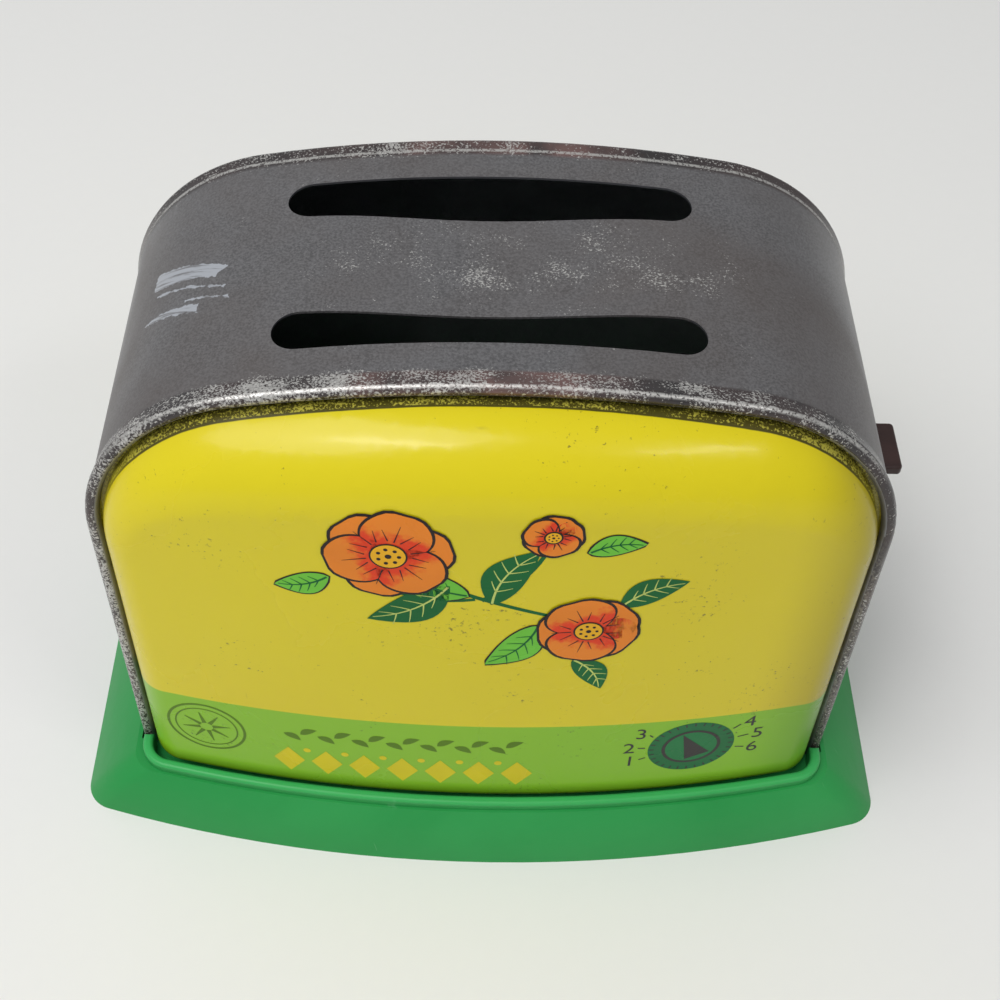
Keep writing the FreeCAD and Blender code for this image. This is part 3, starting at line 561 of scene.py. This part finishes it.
def metal_material(name, colour, rough, stretch, tarnish):
    """Bare sheet, wire or turned metal with a rolling or drawing grain along one axis."""
    material, n, shader = new_material(name)
    where = n.place()[0]
    drawn = n.add("ShaderNodeMapping", {"Vector": where, "Scale": stretch}).outputs[0]
    grain = n.group("fine_grain", drawn, Scale=1500.0)
    cloud = n.group("soft_smudge", where, Scale=50.0)
    dark = tuple(c * tarnish for c in colour)
    base = n.mix(cloud, rgba(colour), rgba(dark))
    spots = n.group("speckle_wear", where, Scale=800.0, Patch=90.0, Amount=0.22)
    n.feed(shader.inputs["Base Color"], n.mix(n.times(spots, 0.5), base, METAL_SPOT))
    n.feed(shader.inputs["Metallic"], n.blend(spots, 0.95, 0.4))
    n.feed(shader.inputs["Roughness"], n.blend(grain, rough - 0.06, rough + 0.08))
    bump(n, shader, grain, 0.12)
    return material


# Metals: name, colour, roughness, stretch of the grain, how dark the tarnish leaves it
INNER_SKIN = ("inner_skin", (0.340, 0.340, 0.370), 0.5, (1, 1, 1), 0.7)
# The same for the mechanism, with the nodes that are made of it
MECHANISM = [
    ("inner_tinplate", (0.30, 0.30, 0.31), 0.38, (0.06, 1, 1), 0.72,
     ["toast_tray_front", "toast_tray_rear", "cross_bar_right", "cross_bar_left",
      "lever_arm", "guide_bracket_right", "guide_bracket_left"]),
    ("drawn_wire", (0.42, 0.42, 0.43), 0.30, (1, 1, 0.05), 0.75,
     ["guide_rod_right", "guide_rod_left"]),
    ("oiled_spring", (0.24, 0.24, 0.26), 0.32, (1, 1, 0.4), 0.7,
     ["return_spring_right", "return_spring_left", "catch_clip", "rod_push_nuts"]),
    ("soft_rivet_metal", (0.52, 0.52, 0.53), 0.36, (1, 1, 1), 0.8,
     ["tray_rivets", "lever_rivets"]),
    ("zinc_plate", (0.50, 0.48, 0.42), 0.34, (1, 1, 1), 0.8, ["bracket_screws"]),
]

SHARP_EDGE = math.radians(28.0)
WELD_DISTANCE = 0.000002
BODY_MIDDLE = Vector((0.0, 0.0, BODY_TOP / 2))


def add_object(name, data):
    thing = bpy.data.objects.new(name, data)
    bpy.context.scene.collection.objects.link(thing)
    return thing


def shade_evenly(thing):
    """Smooth shading with the real corners kept sharp, by modifiers alone."""
    weld = thing.modifiers.new("join_faces", "WELD")
    weld.merge_threshold = WELD_DISTANCE
    split = thing.modifiers.new("sharp_edges", "EDGE_SPLIT")
    split.split_angle = SHARP_EDGE
    split.use_edge_sharp = False
    thing.modifiers.new("even_shading", "WEIGHTED_NORMAL")


def dress(node, material, inside=None):
    """Gives a CAD node its finish and even shading; inside goes on a shell's inner faces."""
    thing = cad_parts[node]
    mesh = thing.data
    mesh.materials.clear()
    mesh.materials.append(material)
    if inside is not None:
        mesh.materials.append(inside)
        for face in mesh.polygons:
            if face.normal.dot(face.center - BODY_MIDDLE) < 0:
                face.material_index = 1
    normals = mesh.attributes.get("custom_normal")
    if normals is not None:
        mesh.attributes.remove(normals)
    mesh.polygons.foreach_set("use_smooth", [True] * len(mesh.polygons))
    shade_evenly(thing)


def build_springs():
    """Coils copied from the stiff CAD springs, shown in their place on the housing."""
    for side in ("right", "left"):
        node = "return_spring_" + side
        coil = add_object("coil_" + side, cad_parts[node].data.copy())
        shade_evenly(coil)
        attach(coil, "housing")
        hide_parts(node)
        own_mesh(coil)


# Flat print laid on the panels, with lengths in metres

PRINT_STEP = 0.00003
PRINT_PIECE = 0.0022
CUT_ROUNDS = 5
RAY_START = 0.2


class Skin:
    """A panel's outside, which print is laid on."""

    def __init__(self, node):
        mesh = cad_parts[node].data
        self.tree = BVHTree.FromPolygons(
            [v.co for v in mesh.vertices], [p.vertices for p in mesh.polygons]
        )
        self.side = -1.0 if node == "front_panel" else 1.0

    def at(self, x, z, lift):
        """Point on the skin at x, z as seen from outside, raised by lift."""
        start = Vector((-self.side * x, self.side * RAY_START, z))
        hit = self.tree.ray_cast(start, Vector((0, -self.side, 0)))[0]
        if hit is None:
            raise RuntimeError("print falls off the panel at %.4f, %.4f" % (x, z))
        return hit + Vector((0, self.side * lift, 0))


def cut_small(mesh):
    """Cuts the faces into triangles with no edge longer than PRINT_PIECE."""
    bmesh.ops.triangulate(mesh, faces=mesh.faces[:])
    for _ in range(CUT_ROUNDS):
        long_edges = [e for e in mesh.edges if e.calc_length() > PRINT_PIECE]
        if not long_edges:
            break
        bmesh.ops.subdivide_edges(mesh, edges=long_edges, cuts=1, use_grid_fill=False)
        bmesh.ops.triangulate(mesh, faces=mesh.faces[:])


def lay_print(name, skin, faces, level, material, shares=None):
    """Mesh of flat shapes (lists of x, z points), cut small and laid on the skin."""
    mesh = bmesh.new()
    layer = mesh.verts.layers.float.new("share")
    for index, points in enumerate(faces):
        verts = [mesh.verts.new((px, 0.0, pz)) for px, pz in points]
        if shares:
            for vert, share in zip(verts, shares[index]):
                vert[layer] = share
        mesh.faces.new(verts)
    cut_small(mesh)
    for vert in mesh.verts:
        vert.co = skin.at(vert.co.x, vert.co.z, PRINT_STEP * level)
    bmesh.ops.recalc_face_normals(mesh, faces=mesh.faces[:])
    data = bpy.data.meshes.new(name)
    mesh.to_mesh(data)
    mesh.free()
    data.polygons.foreach_set("use_smooth", [True] * len(data.polygons))
    data.materials.append(material)
    piece = add_object(name, data)
    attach(piece, "housing")


def turned_point(x, z, cx, cz, degrees):
    """Point x, z turned about the origin and moved to cx, cz."""
    a = math.radians(degrees)
    return cx + x * math.cos(a) - z * math.sin(a), cz + x * math.sin(a) + z * math.cos(a)


def leaf_outline(cx, cz, degrees, length, width, grow=0.0, count=14):
    """Pointed leaf from two arcs with a slight hook, its stalk end at cx, cz."""
    upper, lower = [], []
    for i in range(count + 1):
        t = i / count
        swell = math.sin(math.pi * t ** 0.85) ** 0.9
        bend = 0.10 * length * math.sin(math.pi * t)
        along = -grow + (length + 2 * grow) * t
        upper.append((along, bend + width / 2 * swell + grow * (swell > 0)))
        lower.append((along, bend - width / 2 * swell - grow * (swell > 0)))
    points = upper + lower[-2:0:-1]
    return [turned_point(px, pz, cx, cz, degrees) for px, pz in points]


def ribbon(points, width, taper=1.0):
    """Thin band along points, as one outline."""
    left, right = [], []
    last = len(points) - 1
    for i, (px, pz) in enumerate(points):
        ax, az = points[max(0, i - 1)]
        bx, bz = points[min(last, i + 1)]
        run = math.hypot(bx - ax, bz - az)
        nx, nz = -(bz - az) / run, (bx - ax) / run
        half = width / 2 * (1 - (1 - taper) * i / last)
        left.append((px + nx * half, pz + nz * half))
        right.append((px - nx * half, pz - nz * half))
    return left + right[::-1]


def curve(a, handle, b, count=10):
    """Points of a simple bend from a to b, pulled towards handle."""
    points = []
    for i in range(count + 1):
        t = i / count
        points.append(tuple(
            (1 - t) ** 2 * p + 2 * t * (1 - t) * h + t * t * q
            for p, h, q in zip(a, handle, b)
        ))
    return points


def spokes(cx, cz, radius, count, ends, width, turn=0.0, taper=1.0):
    """Bands that point outwards, with their ends as shares of the radius."""
    bands = []
    for i in range(count):
        path = [turned_point(k * radius, 0.0, cx, cz, 360.0 * i / count + turn) for k in ends]
        bands.append(ribbon(path, width, taper))
    return bands


def disc_outline(cx, cz, radius, count=36):
    angles = [math.radians(360.0 * i / count) for i in range(count)]
    return [(cx + radius * math.cos(a), cz + radius * math.sin(a)) for a in angles]


def ring_strip(cx, cz, inner, outer, count=48):
    """Ring as a row of four-sided faces."""
    faces = []
    for i in range(count):
        a, b = 2 * math.pi * i / count, 2 * math.pi * (i + 1) / count
        faces.append([
            (cx + r * math.cos(t), cz + r * math.sin(t))
            for r, t in ((inner, a), (outer, a), (outer, b), (inner, b))
        ])
    return faces


def petal(cx, cz, degrees, reach, width, grow=0.0, count=12):
    """Round-ended petal's outline, with each point's share of the way to the tip."""
    rim = []
    for i in range(count + 1):
        t = i / count
        along = reach * t
        half = width / 2 * math.sin(math.pi * min(1.0, 0.10 + 0.86 * t)) ** 0.62
        notch = 0.05 * reach * math.exp(-((1 - t) / 0.06) ** 2)
        rim.append((along + grow * t - notch, half + grow, t))
    points = [turned_point(a, h, cx, cz, degrees) for a, h, _ in rim]
    points += [turned_point(a, -h, cx, cz, degrees) for a, h, _ in reversed(rim)]
    shares = [t for _, _, t in rim] + [t for _, _, t in reversed(rim)]
    return points, shares


# Flower spray, in mm and degrees: centre x, z, reach of petals, their count, first angle
BLOOMS = [
    (-15.5, 83.0, 10.4, 6, 14.0),
    (16.5, 64.5, 8.4, 5, 40.0),
    (9.5, 88.5, 4.6, 5, 80.0),
]
# Leaves: stalk end x, z, direction, length, width, is it a dark one
LEAVES = [
    (-3.0, 73.5, 148.0, 14.0, 6.4, False),
    (0.5, 71.5, 62.0, 15.5, 7.0, True),
    (-6.0, 76.0, 216.0, 16.5, 7.2, True),
    (21.0, 70.5, 28.0, 12.0, 6.0, True),
    (8.5, 66.0, 232.0, 14.0, 6.4, False),
    (-25.0, 76.5, 200.0, 9.5, 5.0, False),
    (14.5, 56.5, 300.0, 10.5, 5.2, True),
    (15.0, 84.5, 10.0, 9.0, 4.6, False),
]
# Stems: start, the point that bends it, end
STEMS = [
    ((-12.0, 78.5), (-2.0, 72.5), (13.0, 67.5)),
    ((-1.0, 72.5), (6.0, 76.5), (9.0, 85.5)),
    ((-22.0, 78.5), (-12.0, 70.5), (-2.0, 72.7)),
    ((15.0, 60.5), (12.0, 58.5), (14.0, 57.0)),
]
# Widths of lines and rims, in mm
STEM_WIDTH = 1.0
LEAF_RIM = 0.28
MIDRIB = 0.42
SIDE_VEIN = 0.26
PETAL_RIM = 0.42
PETAL_LINE = 0.24
HUB_RIM = 0.3
# How far lines narrow to their ends, and shares of a bloom's size
STEM_TAPER = 0.7
VEIN_TAPER = 0.4
LINE_TAPER = 0.3
PETAL_FULLNESS = 0.92
HUB_SHARE = 0.26
HUB_DOTS = 7
# Layers of the print, counted from the tin; petals take four, each over its rim
STEM_LAYER = 1
RIM_LAYER = 2
LEAF_LAYER = 3
VEIN_LAYER = 4
PETAL_LAYER = 5
LINE_LAYER = 9
HUB_RIM_LAYER = 10
HUB_LAYER = 11
DOT_LAYER = 12
# Colours of the spray that no setting changes, linear
VEIN_COLOUR = (0.52, 0.62, 0.16)
HUB_COLOUR = (0.80, 0.42, 0.012)


def scaled(points):
    return [(px * MM, pz * MM) for px, pz in points]


def leaf_veins(length, width):
    """Middle rib and side veins of a leaf, each a line and its thickness."""
    rib = curve((0.4, 0.0), (length / 2, 0.20 * length), (length * 0.93, 0.0))
    lines = [(rib, MIDRIB)]
    for share in (0.22, 0.38, 0.54, 0.70):
        root = (length * share, 0.10 * length * math.sin(math.pi * share))
        for side in (-1, 1):
            reach = width * 0.36 * math.sin(math.pi * share ** 0.85)
            tip = (root[0] + length * 0.13, root[1] + side * reach)
            handle = ((root[0] + tip[0]) / 2, tip[1] * 0.6 + root[1] * 0.4)
            lines.append((curve(root, handle, tip, 4), SIDE_VEIN))
    return lines


def build_leaves(skin, dark, light, pale, ink):
    """Leaves of the spray and their veins; the light leaves have a dark rim."""
    for is_dark, colour, vein in ((True, dark, pale), (False, light, dark)):
        label = "dark" if is_dark else "light"
        chosen = [leaf for leaf in LEAVES if leaf[5] is is_dark]
        if not is_dark:
            rims = [scaled(leaf_outline(*leaf[:5], grow=LEAF_RIM)) for leaf in chosen]
            lay_print("spray_leaf_rims", skin, rims, RIM_LAYER, ink)
        bodies = [scaled(leaf_outline(*leaf[:5])) for leaf in chosen]
        lay_print("spray_leaves_" + label, skin, bodies, LEAF_LAYER, colour)
        veins = []
        for x, z, turn, length, width, _ in chosen:
            for line, thick in leaf_veins(length, width):
                path = [turned_point(px, pz, x, z, turn) for px, pz in line]
                veins.append(scaled(ribbon(path, thick, VEIN_TAPER)))
        lay_print("spray_leaf_veins_" + label, skin, veins, VEIN_LAYER, vein)


def build_hub(skin, tag, cx, cz, hub, ink, heart):
    """Round middle of a bloom, rimmed and dotted."""
    rim = scaled(disc_outline(cx, cz, hub + HUB_RIM))
    lay_print("bloom_hub_rim" + tag, skin, [rim], HUB_RIM_LAYER, ink)
    lay_print("bloom_hub" + tag, skin, [scaled(disc_outline(cx, cz, hub))], HUB_LAYER, heart)
    dots = []
    for i in range(HUB_DOTS):
        px, pz = turned_point(hub * 0.62, 0.0, cx, cz, 360.0 * i / HUB_DOTS)
        dots.append(scaled(disc_outline(px, pz, hub * 0.13, 8)))
    dots.append(scaled(disc_outline(cx, cz, hub * 0.2, 10)))
    lay_print("bloom_hub_dots" + tag, skin, dots, DOT_LAYER, ink)


def build_bloom(skin, tag, bloom, ink, petals, heart):
    """One bloom: rimmed petals, every second one raised, with lines at their roots."""
    cx, cz, reach, count, first = bloom
    wide = 2 * reach * math.tan(math.pi / count) * PETAL_FULLNESS
    lines = []
    for i in range(count):
        turn = first + 360.0 * i / count
        level = PETAL_LAYER + 2 * (i % 2)
        rim, _ = petal(cx, cz, turn, reach, wide, grow=PETAL_RIM)
        lay_print("bloom_rim%s_%d" % (tag, i), skin, [scaled(rim)], level, ink)
        body, share = petal(cx, cz, turn, reach, wide)
        name = "bloom_petal%s_%d" % (tag, i)
        lay_print(name, skin, [scaled(body)], level + 1, petals, [share])
        for side in (-0.16, 0.0, 0.16):
            start = (reach * 0.34, reach * side * 0.6)
            end = (reach * (0.72 - abs(side)), reach * side * 1.5)
            path = [turned_point(*p, cx, cz, turn) for p in (start, end)]
            lines.append(scaled(ribbon(path, PETAL_LINE, LINE_TAPER)))
    lay_print("bloom_lines" + tag, skin, lines, LINE_LAYER, ink)
    build_hub(skin, tag, cx, cz, reach * HUB_SHARE, ink, heart)


def build_flowers(look):
    """Stems, leaves and blooms of the spray on the front panel."""
    skin = Skin("front_panel")
    ink = print_material("print_dark_ink", look.ink)
    stem = print_material("print_stem_green", look.leaf_dark)
    dark = print_material("print_leaf_dark", look.leaf_dark)
    light = print_material("print_leaf_light", look.leaf_light)
    petals = print_material("print_petal_orange", look.petal, look.petal_root)
    heart = print_material("print_heart_gold", HUB_COLOUR)
    pale = print_material("print_leaf_vein", VEIN_COLOUR)
    stems = [scaled(ribbon(curve(*s), STEM_WIDTH, STEM_TAPER)) for s in STEMS]
    lay_print("spray_stems", skin, stems, STEM_LAYER, stem)
    build_leaves(skin, dark, light, pale, ink)
    for index, bloom in enumerate(BLOOMS):
        build_bloom(skin, "_%d" % (index + 1), bloom, ink, petals, heart)


def digit_faces(text, cx, cz, height):
    """Faces of one digit in the built-in font, centred on cx, cz."""
    font = bpy.data.curves.new("digit", "FONT")
    font.body = text
    holder = add_object("digit", font)
    bpy.context.view_layer.update()
    mesh = bpy.data.meshes.new_from_object(holder)
    xs = [v.co.x for v in mesh.vertices]
    ys = [v.co.y for v in mesh.vertices]
    size = height / (max(ys) - min(ys))
    mid_x, mid_y = (max(xs) + min(xs)) / 2, (max(ys) + min(ys)) / 2
    points = [(cx + (x - mid_x) * size, cz + (y - mid_y) * size) for x, y in zip(xs, ys)]
    faces = [[points[i] for i in face.vertices] for face in mesh.polygons]
    bpy.data.objects.remove(holder)
    bpy.data.curves.remove(font)
    bpy.data.meshes.remove(mesh)
    return faces


# Digits of the dial: text, offset in x and z from its middle, in mm
DIGITS = [
    ("1", -10.9, -3.4), ("2", -11.4, 1.0), ("3", -9.6, 5.6),
    ("4", 10.0, 6.4), ("5", 11.9, 2.2), ("6", 11.6, -2.4),
]
# Parts of the dial, as shares of its radius
INNER_DISC = 0.60
INNER_RING = 0.68
KNURL_ENDS = (0.86, 0.97)
POINTER = ((0.0, 0.58), (-0.30, -0.44), (0.30, -0.44))
POINTER_TURN = 24.0
KNURLS = 28
# Lines of the dial, in metres
KNURL_WIDTH = 0.00028
TICK_WIDTH = 0.0003
TICK_START = 0.0006
TICK_TO_DIGIT = 0.0016


def dial_tick(x, z, r, dx, dz):
    """Tick from beside the dial of radius r towards the digit at dx, dz."""
    reach = math.hypot(dx, dz)
    near = ((r + TICK_START) * dx / reach, (r + TICK_START) * dz / reach)
    far = (dx - math.copysign(TICK_TO_DIGIT, dx), dz * 0.9)
    return ribbon([(x + px, z + pz) for px, pz in (near, far)], TICK_WIDTH)


def build_dial(look, sizes):
    """Printed browning dial with plain digits and ticks."""
    skin = Skin("front_panel")
    x, z, r = sizes.dial_x, sizes.dial_z, sizes.dial_r
    ink = print_material("print_dial_ink", tuple(c + 0.02 for c in look.ink))
    green = print_material("print_dial_green", look.dial)
    paler = print_material("print_dial_inner", tuple(c * 1.25 for c in look.dial))
    lay_print("dial_disc", skin, [disc_outline(x, z, r, 48)], 1, green)
    ring = ring_strip(x, z, r * INNER_DISC, r * INNER_RING)
    lay_print("dial_inner_ring", skin, ring, 2, ink)
    lay_print("dial_inner_disc", skin, [disc_outline(x, z, r * INNER_DISC, 40)], 2, paler)
    pointer = [turned_point(px * r, pz * r, x, z, POINTER_TURN) for px, pz in POINTER]
    lay_print("dial_pointer", skin, [pointer], 3, ink)
    knurls = spokes(x, z, r, KNURLS, KNURL_ENDS, KNURL_WIDTH)
    lay_print("dial_knurls", skin, knurls, 2, ink)
    faces, ticks = [], []
    for text, dx, dz in DIGITS:
        faces += digit_faces(text, x + dx * MM, z + dz * MM, sizes.digit)
        ticks.append(dial_tick(x, z, r, dx * MM, dz * MM))
    lay_print("dial_digits", skin, faces, 1, ink)
    lay_print("dial_ticks", skin, ticks, 1, ink)


# Border and roundel on the green band, in mm and degrees
LOZENGES = 7
LOZENGE_START = -35.5
LOZENGE_STEP = 7.0
LOZENGE = ((-2.9, 19.8), (0.0, 15.8), (2.9, 19.8), (0.0, 23.8))
DOT_HEIGHT = 23.4
DOT_RADIUS = 0.7
BORDER_LEAVES = 14
LEAF_START = -36.0
LEAF_STEP = 3.1
LEAF_HEIGHT = 28.6
LEAF_TILT = 32.0
LEAF_SIZE = (3.7, 1.7)
RAY_WIDTH = 0.9
RAY_TURN = 12.0
# Centre x, z and radius, then rings and rays as shares of the radius
ROUNDEL = (-50.5, 26.3, 7.4)
ROUNDEL_RINGS = {"roundel_ring": (0.93, 1.0), "roundel_inner_ring": (0.76, 0.80)}
RAYS = 8
RAY_ENDS = (0.16, 0.62)
RAY_TAPER = 0.2


def build_border(look):
    """Plain lozenge border and a bare ringed roundel on the green band."""
    skin = Skin("front_panel")
    yellow = print_material("print_border_yellow", look.yellow)
    dark = print_material("print_band_dark", tuple(c * 0.42 for c in look.band))
    lozenges, dots, leaves = [], [], []
    for i in range(LOZENGES):
        cx = LOZENGE_START + LOZENGE_STEP * i
        lozenges.append(scaled([(cx + dx, z) for dx, z in LOZENGE]))
        if i < LOZENGES - 1:
            dots.append(scaled(disc_outline(cx + LOZENGE_STEP / 2, DOT_HEIGHT, DOT_RADIUS, 14)))
    for i in range(BORDER_LEAVES):
        cx = LEAF_START + LEAF_STEP * i
        tilt = LEAF_TILT if i % 2 else -LEAF_TILT
        leaves.append(scaled(leaf_outline(cx, LEAF_HEIGHT, tilt, *LEAF_SIZE, count=6)))
    lay_print("border_lozenges", skin, lozenges, 1, yellow)
    lay_print("border_beads", skin, dots, 1, yellow)
    lay_print("border_leaves", skin, leaves, 1, dark)
    cx, cz, r = (value * MM for value in ROUNDEL)
    for name, (inner, outer) in ROUNDEL_RINGS.items():
        lay_print(name, skin, ring_strip(cx, cz, r * inner, r * outer), 1, dark)
    rays = spokes(cx, cz, r, RAYS, RAY_ENDS, RAY_WIDTH * MM, RAY_TURN, RAY_TAPER)
    lay_print("roundel_rays", skin, rays, 1, dark)


# Operators, one for each piece or group of pieces

class Step:
    """Shared by the operators: each says in build what it puts in the scene"""

    def execute(self, context):
        self.build(context.scene)
        return {"FINISHED"}


class TOASTER_OT_finishes(Step, bpy.types.Operator):
    """Builds the shared wear, scratch, smudge and grain groups"""
    bl_idname = "toaster.finishes"
    bl_label = "Shared finishes"

    def build(self, scene):
        make_speckle_group()
        make_scratch_group()
        make_smudge_group()
        make_grain_group()


class TOASTER_OT_wrap(Step, bpy.types.Operator):
    """Dresses the arched wrap in worn grey lacquer"""
    bl_idname = "toaster.wrap"
    bl_label = "Wrap"

    def build(self, scene):
        inside = metal_material(*INNER_SKIN)
        outside = wrap_material(scene.toaster_colours, scene.toaster_sizes)
        dress("body_wrap", outside, inside)


class TOASTER_OT_panels(Step, bpy.types.Operator):
    """Dresses the front and rear panels in printed yellow"""
    bl_idname = "toaster.panels"
    bl_label = "Panels"

    def build(self, scene):
        material = panel_material(scene.toaster_colours, scene.toaster_sizes)
        inside = bpy.data.materials[INNER_SKIN[0]]
        dress("front_panel", material, inside)
        dress("rear_panel", material, inside)


class TOASTER_OT_base(Step, bpy.types.Operator):
    """Dresses the moulded base"""
    bl_idname = "toaster.base"
    bl_label = "Base"

    def build(self, scene):
        dress("base", base_material(scene.toaster_colours))


class TOASTER_OT_lever(Step, bpy.types.Operator):
    """Dresses the lever's knob"""
    bl_idname = "toaster.lever"
    bl_label = "Lever"

    def build(self, scene):
        dress("lever_knob", knob_material(scene.toaster_colours))


class TOASTER_OT_mechanism(Step, bpy.types.Operator):
    """Dresses the carriage, its guides, springs, catch and fixings"""
    bl_idname = "toaster.mechanism"
    bl_label = "Mechanism"

    def build(self, scene):
        for *finish, nodes in MECHANISM:
            material = metal_material(*finish)
            for node in nodes:
                dress(node, material)


class TOASTER_OT_springs(Step, bpy.types.Operator):
    """Puts in copies of the return springs, in place of the CAD ones"""
    bl_idname = "toaster.springs"
    bl_label = "Return springs"

    def build(self, scene):
        build_springs()


class TOASTER_OT_flowers(Step, bpy.types.Operator):
    """Prints the flower spray on the front panel"""
    bl_idname = "toaster.flowers"
    bl_label = "Flower spray"

    def build(self, scene):
        build_flowers(scene.toaster_colours)


class TOASTER_OT_dial(Step, bpy.types.Operator):
    """Prints the browning dial and its digits"""
    bl_idname = "toaster.dial"
    bl_label = "Dial"

    def build(self, scene):
        build_dial(scene.toaster_colours, scene.toaster_sizes)


class TOASTER_OT_border(Step, bpy.types.Operator):
    """Prints the border and roundel on the green band"""
    bl_idname = "toaster.border"
    bl_label = "Band border"

    def build(self, scene):
        build_border(scene.toaster_colours)


# Stage: camera, floor and light, in metres and degrees

FLOOR_HALF = 4.0
PANEL_CREST = (0.0, -0.036, 0.099)
BODY_CENTRE = (0.0, 0.0, 0.06)
KEY_PLACE = (-0.38, -0.30, 0.98)
KEY_SIZE = 0.70
TUBES = {"tube_left": (-0.21, -0.40, 0.92), "tube_right": (0.47, -0.40, 0.85)}
TUBE_WIDTH = 0.30
TUBE_HEIGHT = 0.10
TUBE_POWER = 0.9
ROOM_LIGHT = (0.97, 0.985, 1.0, 1.0)
ROOM_SIDES = (-0.7, 0.9)
ROOM_LEFT = 1.15
ROOM_RIGHT = 0.75
CAMERA_PLACE = (-0.00403, -0.18887, 0.26713)
CAMERA_PITCH = 50.365
CAMERA_YAW = -1.373
CAMERA_LENS = 55.51
CAMERA_SENSOR = 36.0
CAMERA_SHIFT = (0.06, 0.03)
CAMERA_NEAR = 0.01


def floor_material(stage):
    """Matt pale floor with a faint grain."""
    material, n, shader = new_material("pale_floor", Roughness=0.85)
    where = n.place()[0]
    grain = n.group("fine_grain", where, Scale=300.0)
    shade = tuple(c * 0.985 for c in stage.floor)
    n.feed(shader.inputs["Base Color"], n.mix(grain, rgba(stage.floor), rgba(shade)))
    return material


def add_lamp(name, place, aim, width, height, power):
    """Soft rectangular lamp at place, turned to aim."""
    lamp = bpy.data.lights.new(name, "AREA")
    lamp.shape = "RECTANGLE"
    lamp.size = width
    lamp.size_y = height
    lamp.energy = power
    thing = add_object(name, lamp)
    thing.location = place
    thing.rotation_mode = "QUATERNION"
    thing.rotation_quaternion = (Vector(aim) - Vector(place)).to_track_quat("-Z", "Y")


def add_floor(stage):
    """Wide square floor that the base stands on."""
    data = bpy.data.meshes.new("floor")
    signs = ((-1, -1), (1, -1), (1, 1), (-1, 1))
    corners = [(x * FLOOR_HALF, y * FLOOR_HALF, TABLE) for x, y in signs]
    data.from_pydata(corners, [], [(0, 1, 2, 3)])
    data.materials.append(floor_material(stage))
    floor = add_object("floor", data)


def light_room(scene, stage):
    """Room light, brighter on the left."""
    world = bpy.data.worlds.new("room")
    scene.world = world
    world.use_nodes = True
    background = world.node_tree.nodes["Background"]
    background.inputs[0].default_value = ROOM_LIGHT
    n = Nodes(world.node_tree)
    side = n.place()[1]
    strength = n.ramp(side, *ROOM_SIDES, stage.sky * ROOM_LEFT, stage.sky * ROOM_RIGHT)
    n.feed(background.inputs[1], strength)


def add_camera(scene):
    """Camera at the photograph's place and angle."""
    data = bpy.data.cameras.new("view")
    data.lens = CAMERA_LENS
    data.sensor_width = CAMERA_SENSOR
    data.shift_x, data.shift_y = CAMERA_SHIFT
    data.clip_start = CAMERA_NEAR
    camera = add_object("view", data)
    camera.location = CAMERA_PLACE
    turn = (90.0 - CAMERA_PITCH, 0.0, -CAMERA_YAW)
    camera.rotation_euler = [math.radians(angle) for angle in turn]
    scene.camera = camera


class TOASTER_OT_stage(Step, bpy.types.Operator):
    """Sets up the floor, the soft studio light and the camera"""
    bl_idname = "toaster.stage"
    bl_label = "Stage"

    def build(self, scene):
        stage = scene.toaster_stage
        add_floor(stage)
        light_room(scene, stage)
        add_lamp("soft_key", KEY_PLACE, BODY_CENTRE, KEY_SIZE, KEY_SIZE, stage.lamp)
        for name, place in TUBES.items():
            add_lamp(name, place, PANEL_CREST, TUBE_WIDTH, TUBE_HEIGHT, TUBE_POWER)
        add_camera(scene)
        scene.view_settings.view_transform = "Standard"


class TOASTER_PT_panel(bpy.types.Panel):
    """Settings and steps of the toaster's dressing"""
    bl_idname = "TOASTER_PT_panel"
    bl_label = "Toaster"
    bl_space_type = "VIEW_3D"
    bl_region_type = "UI"
    bl_category = "Toaster"

    def draw(self, context):
        layout = self.layout
        for name in SETTINGS:
            group = getattr(context.scene, name)
            box = layout.box()
            for key in group.bl_rna.properties.keys():
                if key not in ("rna_type", "name"):
                    box.prop(group, key)
        for operator in OPERATORS:
            layout.operator(operator.bl_idname)


SETTINGS = {
    "toaster_colours": ToasterColours,
    "toaster_sizes": ToasterSizes,
    "toaster_stage": StageSettings,
}
OPERATORS = (
    TOASTER_OT_finishes,
    TOASTER_OT_wrap,
    TOASTER_OT_panels,
    TOASTER_OT_base,
    TOASTER_OT_lever,
    TOASTER_OT_mechanism,
    TOASTER_OT_springs,
    TOASTER_OT_flowers,
    TOASTER_OT_dial,
    TOASTER_OT_border,
    TOASTER_OT_stage,
)
CLASSES = (*SETTINGS.values(), *OPERATORS, TOASTER_PT_panel)


def register():
    for thing in CLASSES:
        bpy.utils.register_class(thing)
    for name, settings in SETTINGS.items():
        setattr(bpy.types.Scene, name, bpy.props.PointerProperty(type=settings))


def unregister():
    for name in SETTINGS:
        delattr(bpy.types.Scene, name)
    for thing in reversed(CLASSES):
        bpy.utils.unregister_class(thing)


def main():
    register()
    bpy.ops.toaster.finishes()
    bpy.ops.toaster.wrap()
    bpy.ops.toaster.panels()
    bpy.ops.toaster.base()
    bpy.ops.toaster.lever()
    bpy.ops.toaster.mechanism()
    bpy.ops.toaster.springs()
    bpy.ops.toaster.flowers()
    bpy.ops.toaster.dial()
    bpy.ops.toaster.border()
    bpy.ops.toaster.stage()


if __name__ == "__main__":
    main()
